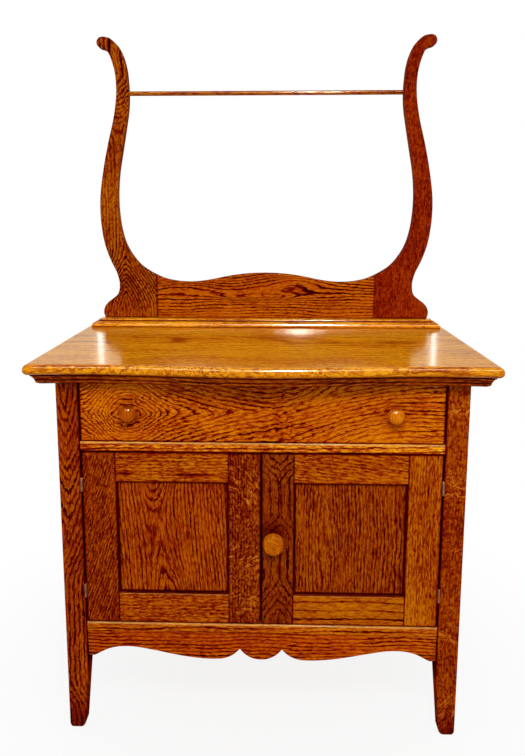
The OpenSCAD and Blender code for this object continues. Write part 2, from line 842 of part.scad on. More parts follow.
module back_ledge() {
    p = ledge_profile();
    low = top_z - ledge_seat;
    rise = [for (q = p) [ledge_y + q[0], top_z + q[1]]];
    right = [for (i = [len(p) - 1 : -1 : 0]) [ledge_x - p[i][0], top_z + p[i][1]]];
    left = [for (q = p) [-ledge_x + q[0], top_z + q[1]]];
    color(oak_gold) difference() {
        intersection() {
            side_cut(-ledge_x, 2 * ledge_x)
                polygon(concat([[ledge_y, low]], rise, [[harp_back_y, harp_z], [harp_back_y, low]]));
            front_cut(ledge_y, harp_back_y - ledge_y)
                polygon(concat([[-ledge_x, low]], left, right, [[ledge_x, low]]));
        }
        harp_screws() screw_hole(harp_screw_d, harp_screw_head_d, top_t + ledge_h + harp_screw_in);
    }
}

module harp_screws() {
    for (side = [-1, 1], x = harp_screw_xs)
        if (side > 0 || x > 0) translate([side * x, rod_y, leg_h]) mirror([0, 0, 1]) children();
}

// Right half of the harp's outline, from its foot round the tip to the middle of the crest
function harp_half() =
    let (
        foot = [harp_w / 2, 13],
        waist = [waist_w / 2, waist_h],
        belly = [belly_w / 2, belly_h],
        neck = [neck_w / 2, rod_h],
        tip = [tip_w / 2 - tip_r - 4, tip_h],
        ball = [tip_w / 2 - tip_r, harp_h - tip_r],
        crown = [ball.x - 2, harp_h],
        neck_in = [neck_in_w / 2, rod_h],
        belly_in = [belly_in_w / 2, belly_h + 12],
        joint = [joint_x, crest_joint_h],
        dip = [crest_dip_x, crest_dip_h],
        hump = [0, crest_h]
    )
    concat(
        curve([
            [harp_w / 2 - 3.5, 0], foot, mix(foot, waist, 0.09, 0.22), mix(foot, waist, 0.31, 0.38),
            mix(foot, waist, 0.61, 0.52), mix(foot, waist, 0.88, 0.67), waist,
            mix(waist, belly, 0.13, 0.15), mix(waist, belly, 0.44, 0.3), mix(waist, belly, 0.76, 0.5),
            mix(waist, belly, 0.96, 0.77), belly, mix(belly, neck, 0.26, 0.36), mix(belly, neck, 0.52, 0.57),
            mix(belly, neck, 0.82, 0.78), neck, mix(neck, tip, 0, 0.27), mix(neck, tip, 0.08, 0.47),
            mix(neck, tip, 0.34, 0.74), mix(neck, tip, 0.53, 0.87), mix(neck, tip, 0.73, 0.955), tip
        ]),
        arc(ball, tip_r, -75, 85, 9),
        curve([
            crown, mix(crown, neck_in, 0.25, 0.023), mix(crown, neck_in, 0.42, 0.075),
            mix(crown, neck_in, 0.58, 0.146), mix(crown, neck_in, 0.79, 0.326),
            mix(crown, neck_in, 0.93, 0.56), mix(crown, neck_in, 0.98, 0.78), neck_in,
            mix(neck_in, belly_in, 0.06, 0.145), mix(neck_in, belly_in, 0.25, 0.295),
            mix(neck_in, belly_in, 0.56, 0.515), mix(neck_in, belly_in, 0.875, 0.746), belly_in,
            mix(belly_in, joint, 0.018, 0.178), mix(belly_in, joint, 0.08, 0.4),
            mix(belly_in, joint, 0.187, 0.58), mix(belly_in, joint, 0.38, 0.75),
            mix(belly_in, joint, 0.6, 0.875), mix(belly_in, joint, 0.82, 0.951), joint,
            mix(joint, dip, 0.25, 0.52), mix(joint, dip, 0.57, 0.87), dip,
            mix(dip, hump, 0.29, 0.275), mix(dip, hump, 0.43, 0.52), mix(dip, hump, 0.645, 0.816),
            mix(dip, hump, 0.83, 0.96), hump
        ])
    );

module harp_board() {
    half = harp_half();
    left = [for (i = [len(half) - 2 : -1 : 0]) [-half[i].x, half[i].y]];
    front_cut(harp_y, harp_t) translate([0, harp_z]) polygon(concat(half, left));
}

// Holes in the harp's boards for the screws, the dowels and the towel rod
module harp_holes() {
    harp_screws() screw_hole(harp_screw_d, harp_screw_head_d, top_t + ledge_h + harp_screw_in);
    crest_dowel_rods(joint_gap);
    rod_x([-neck_in_w / 2 - rod_socket, rod_y, rod_z], rod_d + 2 * rod_fit, neck_in_w + 2 * rod_socket);
}

module harp_post(side) {
    color(side < 0 ? oak : oak_red) difference() {
        intersection() {
            harp_board();
            sided(side)
                board([joint_x, harp_y - 1, harp_z - 1], [top_w / 2, harp_back_y + 1, harp_z + harp_h + 1]);
        }
        harp_holes();
    }
}

module harp_crest() {
    color(oak) difference() {
        intersection() {
            harp_board();
            board([-joint_x, harp_y - 1, harp_z - 1], [joint_x, harp_back_y + 1, harp_z + harp_h + 1]);
        }
        harp_holes();
    }
}

module crest_dowel_rods(gap = 0) {
    l = dowel_l + (gap > 0 ? 2 * mortise_spare : 0);
    for (side = [-1, 1], h = dowel_hs)
        rod_x([side * joint_x - l / 2, rod_y, harp_z + h], dowel_d + 2 * gap, l);
}

module crest_dowels() { color(oak_plain) crest_dowel_rods(); }

module towel_rod() {
    l = neck_in_w + 2 * (rod_socket - 1);
    color(oak) rod_x([-l / 2, rod_y, rod_z], rod_d, l);
}

module top_screws() {
    color(steel) {
        kicker_screws() screw(top_screw_d, top_screw_head_d, rail_t + top_screw_in);
        rail_screws() screw(top_screw_d, top_screw_head_d, rail_t + top_screw_in);
        harp_screws() screw(harp_screw_d, harp_screw_head_d, top_t + ledge_h + harp_screw_in);
    }
}

// Hinges: drawn on the right, with the middle of the barrel at the origin

// Both hinges of the right-hand side
module both_hinges() {
    for (z = hinge_zs) translate([hinge_x, hinge_y, z]) children();
}

// A leaf and its knuckles: side 1 lies in the leg, side -1 in the door
module leaf(side) {
    edge = hinge_gap / 2;
    back = face_y + leaf_w - hinge_y;
    clear = barrel_d / 2 + 0.3;
    x0 = side > 0 ? edge : -edge - leaf_t;
    own = side > 0 ? [-1, 1] : [0];
    other = side > 0 ? [0] : [-1, 1];
    difference() {
        union() {
            board([x0, clear, -hinge_h / 2], [x0 + leaf_t, back, hinge_h / 2]);
            for (k = own) translate([0, 0, k * (knuckle_h + knuckle_gap) - knuckle_h / 2]) {
                board([x0, 0, 0], [x0 + leaf_t, clear + 1, knuckle_h]);
                cylinder(d = barrel_d, h = knuckle_h, $fn = round_fn);
            }
        }
        translate([0, 0, -hinge_h]) cylinder(d = pin_d + 2 * run_fit, h = 2 * hinge_h, $fn = round_fn);
        leaf_screws(side) screw_hole(screw_d, screw_head_d, screw_l);
    }
}

// The pocket of a leaf in the leg or in the door
module leaf_mortise(side) {
    edge = hinge_gap / 2;
    x0 = side > 0 ? edge - 1 : -edge - leaf_t;
    y0 = face_y - hinge_y;
    pocket([x0, y0 - 1, -hinge_h / 2], [x0 + leaf_t + 1, y0 + leaf_w, hinge_h / 2], pilot_gap);
}

// Places of a leaf's screws, whose shanks point into the wood
module leaf_screws(side) {
    for (k = [-1, 1])
        translate([side * hinge_gap / 2, screw_y - hinge_y, k * screw_off])
            rotate([0, -side * 90, 0]) children();
}

// The leaves of one door, or the leaves of both legs
module door_hinge_leaves(side) { color(brass) sided(side) both_hinges() leaf(-1); }
module case_hinge_leaves() { color(brass) both_sides() both_hinges() leaf(1); }

module hinge_screws(side) { both_hinges() leaf_screws(side) screw(screw_d, screw_head_d, screw_l); }

module hinge_pins() {
    color(brass) both_sides() both_hinges()
        translate([0, 0, -hinge_h / 2]) cylinder(d = pin_d, h = hinge_h, $fn = round_fn);
}

module case_hinge_screws() { color(brass) both_sides() hinge_screws(1); }

// Drawer

// Outlines of the dovetails along a drawer side's end, as [y, z]: roots at y = 0, ends at y = l
module tail_shapes(z0, z1, l, gap = 0) {
    pitch = (z1 - z0) / tails;
    wide = pitch * 0.36 + gap;
    narrow = wide - l / 7;
    for (i = [0 : tails - 1]) {
        upper = [[-1, narrow], [0, narrow], [l + gap, wide]];
        lower = [[l + gap, -wide], [0, -narrow], [-1, -narrow]];
        translate([0, z0 + pitch * (i + 0.5)]) polygon(concat(lower, upper));
    }
}

// The right-hand side's tails at the front, or their sockets in the drawer's front
module front_tails(cut = false) {
    gap = cut ? joint_gap : 0;
    translate([0, drawer_front_in_y, 0]) mirror([0, 1, 0])
        side_cut(drawer_side_in_x - gap, drawer_side_t + gap * 20)
            tail_shapes(drawer_z, drawer_z + drawer_h, tail_l, gap);
}

// The right-hand side's tails at the back, or their sockets in the drawer's back
module back_tails(cut = false) {
    gap = cut ? joint_gap : 0;
    translate([0, drawer_back_y - drawer_side_t, 0])
        side_cut(drawer_side_in_x - gap, drawer_side_t + gap * 20)
            tail_shapes(drawer_bottom_top_z, drawer_z + drawer_h - drawer_back_drop, drawer_side_t, gap);
}

module drawer_bottom_board(cut = false) {
    x = drawer_side_in_x + drawer_groove - panel_spare;
    low = [-x, drawer_front_in_y - drawer_groove + panel_spare, drawer_bottom_z];
    high = [x, drawer_back_y - 0.5, drawer_bottom_top_z];
    if (cut) pocket(low - [panel_spare, panel_spare, 0], high + [panel_spare, 1, 0], bottom_fit / 2);
    else board(low, high);
}

module drawer_front() {
    color(oak_gold) difference() {
        board([-drawer_x, face_y, drawer_z], [drawer_x, drawer_front_in_y, drawer_z + drawer_h]);
        both_sides() front_tails(true);
        drawer_bottom_board(true);
        both_sides()
            rod_y([drawer_knob_x, face_y - 1, knob_z], knob_tenon_d + 2 * pilot_gap, drawer_front_t + 2);
    }
}

module drawer_side(side) {
    color(oak_plain) sided(side) difference() {
        union() {
            difference() {
                board([drawer_side_in_x, drawer_front_in_y, drawer_z],
                      [drawer_x, drawer_back_y, drawer_z + drawer_h]);
                board([0, drawer_back_y - drawer_side_t, drawer_bottom_top_z + bottom_fit],
                      [case_w, case_back_y, drawer_z + drawer_h - drawer_back_drop]);
            }
            front_tails();
            back_tails();
        }
        drawer_bottom_board(true);
    }
}

module drawer_back() {
    color(oak_plain) difference() {
        board([-drawer_x, drawer_back_y - drawer_side_t, drawer_bottom_top_z + bottom_fit],
              [drawer_x, drawer_back_y, drawer_z + drawer_h - drawer_back_drop]);
        both_sides() back_tails(true);
    }
}

module drawer_bottom() { color(oak_plain) drawer_bottom_board(); }

// A turned knob along -Y with its seat at the origin; flat is the share of the face that is flat
module knob_turning(d, l, neck_d, flat) {
    r = d / 2;
    neck = neck_d / 2;
    rim = l * 0.52;
    dome = l - rim;
    rotate([90, 0, 0]) rotate_extrude($fn = round_fn)
        polygon(concat(
            [[0, 0], [neck + 1.5, 0], [neck, 2], [neck, rim - 4]],
            arc([r - 3, rim - 1], 3, -70, 0, 4),
            [for (i = [0 : 6]) [r * (flat + (1 - flat) * cos(15 * i)), rim + dome * sin(15 * i)]],
            [[0, l]]
        ));
}

module drawer_knob(side) {
    color(oak_gold) translate([side * drawer_knob_x, face_y, knob_z]) {
        knob_turning(drawer_knob_d, drawer_knob_l, 14, 0.25);
        rod_y([0, -1, 0], knob_tenon_d, knob_tenon_l + 1);
    }
}

// Doors, drawn on the right

// The tenons of a door's rail between the heights z0 and z1, or their mortises
module door_tenons(z0, z1, cut = false) {
    spare = cut ? mortise_spare : 0;
    y = face_y + (door_t - tenon_t) / 2;
    low = [meet_x - door_tenon_l - spare, y, z0];
    high = [stile_in_x + door_tenon_l + spare, y + tenon_t, z1];
    if (cut) pocket(low, high);
    else board(low, high);
}

// Heights of a door rail's tenons, clear of the panel's groove and of the stile's end
function door_rail_tenon(i) = i == 0
    ? [door_z + shoulder * 2, door_z + door_foot_rail_h - groove_d - 2]
    : [door_z + door_h - door_top_rail_h + groove_d + 2, door_z + door_h - shoulder * 2];

module door_panel_board(cut = false) {
    d = groove_d - panel_spare;
    low = [meet_x - d, door_panel_y, door_z + door_foot_rail_h - d];
    high = [stile_in_x + d, door_panel_y + panel_t, door_z + door_h - door_top_rail_h + d];
    if (cut) pocket(low - panel_spare * [1, 0, 1], high + panel_spare * [1, 0, 1]);
    else board(low, high);
}

module door_frame_cuts() {
    for (i = [0, 1]) door_tenons(door_rail_tenon(i)[0], door_rail_tenon(i)[1], true);
    door_panel_board(true);
}

module hinge_stile(side) {
    color(oak) sided(side) difference() {
        board([stile_in_x, face_y, door_z], [door_out_x, door_back_y, door_z + door_h]);
        door_frame_cuts();
        both_hinges() leaf_mortise(-1);
        both_hinges() leaf_screws(-1) screw_hole(screw_d, screw_head_d, screw_l);
    }
}

module meeting_stile(side) {
    color(oak) difference() {
        sided(side) difference() {
            board([door_in_x, face_y, door_z], [meet_x, door_back_y, door_z + door_h]);
            door_frame_cuts();
        }
        rod_y([latch_x, face_y - 1, door_mid_z], spindle_d + 2 * run_fit, door_t + 2);
        plate_screws() screw_hole(screw_d, screw_head_d, screw_l - 4);
    }
}

module door_rail(side, i) {
    z0 = i == 0 ? door_z : door_z + door_h - door_top_rail_h;
    z1 = i == 0 ? door_z + door_foot_rail_h : door_z + door_h;
    color(oak_gold) sided(side) difference() {
        union() {
            board([meet_x, face_y, z0], [stile_in_x, door_back_y, z1]);
            door_tenons(door_rail_tenon(i)[0], door_rail_tenon(i)[1]);
        }
        door_panel_board(true);
    }
}

module door_panel(side) { color(oak_red) sided(side) door_panel_board(); }

// Latch on the right door

module door_knob() {
    color(oak_gold) difference() {
        translate([latch_x, face_y - run_gap, door_mid_z])
            knob_turning(door_knob_d, door_knob_l - run_gap, 18, 0.72);
        rod_y([latch_x, face_y - spindle_in_knob, door_mid_z], spindle_d + 2 * pilot_gap, spindle_in_knob);
    }
}

module latch_tongue() {
    y = door_back_y + tongue_gap;
    top = spindle_in_knob - 0.5;
    color(brass) union() {
        rod_y([latch_x, face_y - top, door_mid_z], spindle_d, top + door_t + tongue_gap + plate_t + 1.5);
        rod_y([latch_x, y, door_mid_z], tongue_w, plate_t);
        translate([latch_x, y + plate_t, door_mid_z - tongue_l]) rotate([90, 0, 0])
            linear_extrude(plate_t) difference() {
                translate([-tongue_w / 2, 0]) square([tongue_w, tongue_l]);
                for (s = [-1, 1]) translate([s * tongue_w / 2, 0]) rotate(45) square(5, center = true);
            }
    }
}

// Bolt on the left door

module bolt_hole() {
    rod_z([bolt_x, bolt_y, door_top_z - 1], bolt_d + 2, bolt_throw + 2);
}

module plate_screws() {
    for (z = [-1, 1])
        translate([bolt_x, door_back_y + plate_t, bolt_tip_z - bolt_l / 2 + z * (bolt_l / 2 - 3)])
            rotate([-90, 0, 0]) children();
}

module bolt_plate() {
    low_z = bolt_tip_z - bolt_l;
    color(brass) difference() {
        union() {
            board([bolt_x - bolt_plate_w / 2, door_back_y, low_z - 3],
                  [bolt_x + bolt_plate_w / 2, door_back_y + plate_t, bolt_tip_z]);
            for (z = [low_z + 10, bolt_tip_z - 10 - staple_h])
                board([bolt_x - bolt_d / 2 - staple_wall, door_back_y, z],
                      [bolt_x + bolt_d / 2 + staple_wall, bolt_y + bolt_d / 2 + staple_wall, z + staple_h]);
        }
        rod_z([bolt_x, bolt_y, low_z - 10], bolt_d + 2 * run_fit, bolt_l + 20);
        plate_screws() screw_hole(screw_d, screw_head_d, screw_l - 4);
    }
}

module door_bolt() {
    mid = bolt_tip_z - bolt_l / 2 - bolt_throw / 2;
    color(steel) union() {
        rod_z([bolt_x, bolt_y, bolt_tip_z - bolt_l + 6], bolt_d, bolt_l - 6);
        rod_y([bolt_x, bolt_y, mid], bolt_d * 0.8, bolt_d / 2 + 8);
        translate([bolt_x, bolt_y + bolt_d / 2 + 9, mid]) sphere(d = bolt_d * 1.4, $fn = round_fn);
    }
}

module door_screws(side) {
    color(brass) {
        sided(side) hinge_screws(-1);
        if (side < 0) plate_screws() screw(screw_d, screw_head_d, screw_l - 4);
    }
}

front_leg(-1);  // front_left_leg
front_leg(1);  // front_right_leg
rear_leg(-1);  // rear_left_leg
rear_leg(1);  // rear_right_leg
side_rail(-1, frame_top_z, leg_h);  // left_side_top_rail
side_rail(-1, apron_top_z, frame_foot_z);  // left_side_bottom_rail
side_panel(-1);  // left_side_panel
side_rail(1, frame_top_z, leg_h);  // right_side_top_rail
side_rail(1, apron_top_z, frame_foot_z);  // right_side_bottom_rail
side_panel(1);  // right_side_panel
back_rail(frame_top_z, leg_h);  // back_top_rail
back_rail(apron_top_z, frame_foot_z);  // back_bottom_rail
back_panel();
top_front_rail();
drawer_rail();
bottom_rail();
front_apron();
cabinet_floor();
drawer_runners();
drawer_kickers();
drawer_stops();
tabletop();
front_moulding();
side_moulding(-1);  // left_moulding
side_moulding(1);  // right_moulding
back_ledge();
harp_post(-1);  // left_harp_post
harp_post(1);  // right_harp_post
harp_crest();
crest_dowels();
towel_rod();
top_screws();
case_hinge_leaves();
hinge_pins();
case_hinge_screws();
drawer_front();
drawer_side(-1);  // drawer_left_side
drawer_side(1);  // drawer_right_side
drawer_back();
drawer_bottom();
drawer_knob(-1);  // left_drawer_knob
drawer_knob(1);  // right_drawer_knob
hinge_stile(-1);  // left_door_hinge_stile
meeting_stile(-1);  // left_door_meeting_stile
door_rail(-1, 1);  // left_door_top_rail
door_rail(-1, 0);  // left_door_bottom_rail
door_panel(-1);  // left_door_panel
door_hinge_leaves(-1);  // left_door_hinge_leaves
door_screws(-1);  // left_door_screws
bolt_plate();
door_bolt();
hinge_stile(1);  // right_door_hinge_stile
meeting_stile(1);  // right_door_meeting_stile
door_rail(1, 1);  // right_door_top_rail
door_rail(1, 0);  // right_door_bottom_rail
door_panel(1);  // right_door_panel
door_hinge_leaves(1);  // right_door_hinge_leaves
door_screws(1);  // right_door_screws
door_knob();
latch_tongue();
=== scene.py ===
import math
from dataclasses import dataclass
from typing import NamedTuple

import bmesh
import bpy
from bpy.props import FloatProperty, FloatVectorProperty, PointerProperty
from bpy.types import Operator, Panel, PropertyGroup
from mathutils import Matrix, Vector


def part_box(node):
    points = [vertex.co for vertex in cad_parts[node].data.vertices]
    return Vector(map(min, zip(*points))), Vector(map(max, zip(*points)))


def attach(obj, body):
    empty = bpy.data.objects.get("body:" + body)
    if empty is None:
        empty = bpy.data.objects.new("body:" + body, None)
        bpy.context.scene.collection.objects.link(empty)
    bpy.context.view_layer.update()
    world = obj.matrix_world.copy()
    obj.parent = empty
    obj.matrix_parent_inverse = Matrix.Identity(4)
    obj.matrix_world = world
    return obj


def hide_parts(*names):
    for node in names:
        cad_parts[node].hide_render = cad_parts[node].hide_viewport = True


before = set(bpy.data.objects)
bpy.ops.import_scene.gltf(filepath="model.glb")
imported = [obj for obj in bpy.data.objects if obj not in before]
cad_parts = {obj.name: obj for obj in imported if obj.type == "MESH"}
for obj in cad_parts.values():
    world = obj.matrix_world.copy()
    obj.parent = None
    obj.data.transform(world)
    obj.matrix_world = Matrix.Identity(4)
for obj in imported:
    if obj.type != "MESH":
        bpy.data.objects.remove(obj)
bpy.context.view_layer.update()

bl_info = {
    "name": "Oak Washstand",
    "version": (1, 0, 0),
    "blender": (4, 5, 0),
    "location": "View3D > Sidebar > Washstand",
    "description": "Dresses the washstand's boards in varnished oak and sets its studio",
    "category": "Object",
}


# Colours are written as they look on a screen and turned into light here

def light_of(colour):
    """Linear colour of a screen colour."""
    return tuple(c / 12.92 if c <= 0.04045 else ((c + 0.055) / 1.055) ** 2.4 for c in colour[:3])


def colour_property(name, description, default):
    """A screen colour that a user can change."""
    return FloatVectorProperty(name=name, description=description, subtype="COLOR_GAMMA", size=3,
                               min=0, max=1, default=default)


def share_property(name, description, default, most=1.0):
    """A share, from nothing up."""
    return FloatProperty(name=name, description=description, default=default, min=0, max=most,
                         subtype="FACTOR")


def power_property(name, description, default, most=500):
    """The power of a lamp, in watts."""
    return FloatProperty(name=name, description=description, default=default, min=0, max=most,
                         precision=4, unit="POWER")


class WashstandFinish(PropertyGroup):
    """Colours and gloss of the oak and the metal."""
    golden: colour_property("Golden oak", "Body of the lightest boards: top, ledge and rail",
                            (0.93, 0.635, 0.08))
    oak: colour_property("Oak", "Body of the drawer front, the crest and the door rails", (0.84, 0.50, 0.03))
    umber: colour_property("Dark oak", "Body of the legs, the panels and the stiles", (0.73, 0.37, 0.02))
    russet: colour_property("Russet oak", "Body of the right harp post", (0.62, 0.24, 0.012))
    bare: colour_property("Bare oak", "Unstained oak inside the case and the drawer", (0.82, 0.64, 0.42))
    pale: colour_property("Ray flakes", "Pale flakes of quarter-sawn oak", (0.94, 0.63, 0.16))
    brass: colour_property("Brass", "Hinges, bolt plate and latch", (0.84, 0.52, 0.34))
    steel: colour_property("Steel", "Bolt and hidden screws", (0.48, 0.47, 0.45))
    stain: share_property("Stain", "Share of red that is left where stain fills the grain", 0.07)
    gloss: share_property("Varnish", "Weight of the varnish on a board of gloss 1", 0.13)
    figure: share_property("Figure", "Strength of the growth rings", 1.0, 1.5)


class WashstandEdges(PropertyGroup):
    """How far the edges of the boards are rounded."""
    board: FloatProperty(name="Boards", description="Rounding of the boards' edges",
                         default=0.0009, min=0, max=0.003, unit="LENGTH")
    metal: FloatProperty(name="Metal", description="Rounding of the hinges' and latch's edges",
                         default=0.0003, min=0, max=0.001, unit="LENGTH")


class WashstandStudio(PropertyGroup):
    """Floor, lamps and camera."""
    floor: colour_property("Floor", "Colour of the floor", (0.95, 0.95, 0.945))
    room: FloatProperty(name="Room light", description="Light that comes from all around",
                        default=0.45, min=0, max=2)
    key: power_property("Main lamp", "Power of the large lamp above the front", 31)
    fill: power_property("Side lamps", "Power of each of the two side lamps", 5)
    spark: power_property("Ceiling glint", "Power of the lamp that glints on nose and ledge", 260)
    band: power_property("Ceiling band", "Power of the long lamp that glints on the edges", 100)
    mirrored: power_property("Ledge glint", "Power of the small glint that the top mirrors", 0.010, 1)
    strips: power_property("Strip glints", "Power of the strips that streak the top's ends", 0.15, 10)
    lens: FloatProperty(name="Lens", description="Focal length of the camera in millimetres",
                        default=34.0, min=10, max=200)


# Node graphs written as expressions

def maths(operation, reflected=False):
    """A method that adds a Math node of the value and what it is given, or of these the other way round."""

    def method(self, *given):
        terms = (*given, self) if reflected else (self, *given)
        return self.graph.add("ShaderNodeMath", {"operation": operation}, dict(enumerate(terms)))

    return method


class Value:
    """A socket that takes part in arithmetic. Each operator adds a Math node."""
    __add__ = maths("ADD")
    __radd__ = maths("ADD", reflected=True)
    __sub__ = maths("SUBTRACT")
    __rsub__ = maths("SUBTRACT", reflected=True)
    __mul__ = maths("MULTIPLY")
    __rmul__ = maths("MULTIPLY", reflected=True)
    __truediv__ = maths("DIVIDE")
    __rtruediv__ = maths("DIVIDE", reflected=True)
    __pow__ = maths("POWER")
    __rpow__ = maths("POWER", reflected=True)
    __abs__ = maths("ABSOLUTE")
    floor = maths("FLOOR")
    fract = maths("FRACT")
    exp = maths("EXPONENT")
    root = maths("SQRT")
    least = maths("MINIMUM")
    most = maths("MAXIMUM")
    above = maths("GREATER_THAN")

    def __init__(self, graph, socket):
        self.graph = graph
        self.socket = socket

    def __neg__(self):
        return self * -1.0

    def ramp(self, low, high, start=0.0, end=1.0):
        """Goes smoothly from start to end while the value goes from low to high."""
        sockets = {"Value": self, "From Min": low, "From Max": high, "To Min": start, "To Max": end}
        return self.graph.add("ShaderNodeMapRange", {"interpolation_type": "SMOOTHSTEP"}, sockets)


class Graph:
    """The nodes of one material, of the world or of one geometry modifier."""

    def __init__(self, tree):
        self.tree = tree
        tree.nodes.clear()

    def add(self, kind, settings=None, sockets=None, output=0):
        """Adds a node. Its settings come first, then the values or links of its sockets."""
        node = self.tree.nodes.new(kind)
        for name, setting in (settings or {}).items():
            setattr(node, name, setting)
        for name, given in (sockets or {}).items():
            if isinstance(given, Value):
                self.tree.links.new(given.socket, node.inputs[name])
            else:
                node.inputs[name].default_value = given
        return Value(self, node.outputs[output]) if len(node.outputs) else node

    def outputs(self, value, *names):
        """Other outputs of the node that a value comes from."""
        return [Value(self, value.socket.node.outputs[name]) for name in names]

    def vector(self, x, y, z):
        return self.add("ShaderNodeCombineXYZ", None, {0: x, 1: y, 2: z})

    def parts(self, vector):
        """The three numbers of a vector."""
        return self.outputs(self.add("ShaderNodeSeparateXYZ", None, {0: vector}), "X", "Y", "Z")

    def noise(self, x, y, z, detail=2.0, roughness=0.5):
        """Noise from 0 to 1 at a place given by three numbers."""
        sockets = {"Vector": self.vector(x, y, z), "Scale": 1.0, "Detail": detail, "Roughness": roughness}
        return self.add("ShaderNodeTexNoise", None, sockets)

    def times(self, a, b):
        """Product of two colours or vectors."""
        return self.add("ShaderNodeVectorMath", {"operation": "MULTIPLY"}, {0: a, 1: b})

    def mix(self, share, a, b):
        """Colour a turned towards colour b. A Mix node's colours are its sockets 6 and 7 and its output 2."""
        colours = [c if isinstance(c, Value) else (*c[:3], 1.0) for c in (a, b)]
        return self.add("ShaderNodeMix", {"data_type": "RGBA"}, {0: share, 6: colours[0], 7: colours[1]}, 2)


def new_material(name):
    """An empty material and its graph."""
    material = bpy.data.materials.new(name)
    material.use_nodes = True
    return material, Graph(material.node_tree)


def bell(*steps):
    """1 where all steps are 0, fading to 0 on every side."""
    total = steps[0] * steps[0]
    for step in steps[1:]:
        total = total + step * step
    return (-total).exp()


# Oak

# Powers that darken red, green and blue where stain, dirt and painted shade lie on a stained, a waxed or a
# bare board
STAINED = (1.0, 2.6, 1.5)
WAXED = (1.0, 1.9, 2.4)
BARE = (1.0, 1.25, 1.6)
# Screen colour of the painted highlight along a rounded edge
EDGE_HIGHLIGHT_COLOUR = (0.97, 0.68, 0.32)
# Tint of the clouds in a board's colour, and how much of it shows
CLOUD_TINT = (0.96, 0.82, 0.6)
CLOUD_SHARE = 0.35
# How much of its figure bare oak shows, and the share of red that its darkest grain leaves
BARE_FIGURE = 0.45
BARE_LEFT = 0.45

# How dark pores and clouds are, and the most that all the marks of the grain add up to
PORE_DARK = 0.2
CLOUD_DARK = 0.16
GRAIN_FULL = 0.94
# How much of a board's dark grain a pale ray flake covers, and how much of the flakes' colour shows
FLAKE_COVER = 0.85
FLAKE_SHARE = 0.8
# Painted shade of the gaps at a board's seams, with some dirt: how far it fades out, how dark it is, and how
# much of it lies on the side faces
SEAM_FADE = 3.5
SEAM_SHADE = 0.85
SIDE_SEAM_SHADE = 0.75
# How dark the painted shade near the floor is and how high it reaches, how dark end grain is, and how dark
# the painted shade on inner sides is
FOOT_SHADE = 0.5
FOOT_SHADE_REACH = 90.0
END_DARK = 0.35
INNER_SIDE_SHADE = 0.3

# Roughness of varnished and of bare oak, and what dark grain adds to it
VARNISHED_ROUGH = 0.32
BARE_ROUGH = 0.55
GRAIN_ROUGH = 0.15
# Relief of pores and early wood: its strength, its depth in metres, and the share of each
RELIEF = 0.35
RELIEF_DEPTH = 0.0002
PORE_RELIEF = 0.7
EARLY_RELIEF = 0.3
# How strongly bare oak mirrors, and how strongly the varnish bends light
BARE_SPECULAR = 0.25
VARNISH_IOR = 1.38

# How far apart two boards lie in the noise
SEED_STEP = 17.3
# Lengths in millimetres of the log's wandering, of the fraying of its rings and of its bolder stretches
DRIFT_LENGTH, DRIFT_WIDTH = 210, 95
FRAY_LENGTH, FRAY_WIDTH = 22, 4.2
BOLD_LENGTH, BOLD_WIDTH, BOLD_DEPTH = 130, 34, 60
# Depth of the dashes and the flakes, and how far noise bends a flake, over what width and length
DASH_DEPTH = 3.2
FLAKE_DEPTH = 40
FLAKE_BEND, BEND_WIDTH, BEND_LENGTH = 22, 16, 40


class Specks(NamedTuple):
    """Specks drawn by noise: their size in millimetres, and the noise at which they begin and are full."""
    length: float
    width: float
    begin: float
    full: float
    detail: float
    roughness: float

    def draw(self, graph, x, y, z):
        return graph.noise(x, y, z, self.detail, self.roughness).ramp(self.begin, self.full)

    def spread(self, graph, at, across):
        """Draws them all over a board, stretched along its grain."""
        return self.draw(graph, at.along / self.length, across / self.width, at.deep / self.width + at.seed)


PORES = Specks(7, 0.6, 0.56, 0.70, 1.0, 0.5)
DASHES = Specks(17, 2.6, 0.44, 0.60, 3.0, 0.65)
FIBRES = Specks(11, 2.6, 0.42, 0.64, 3.0, 0.6)
BLOTCHES = Specks(6, 4.5, 0.42, 0.62, 3.0, 0.65)
FLAKES = Specks(24, 3.4, 0.54, 0.64, 2.0, 0.5)


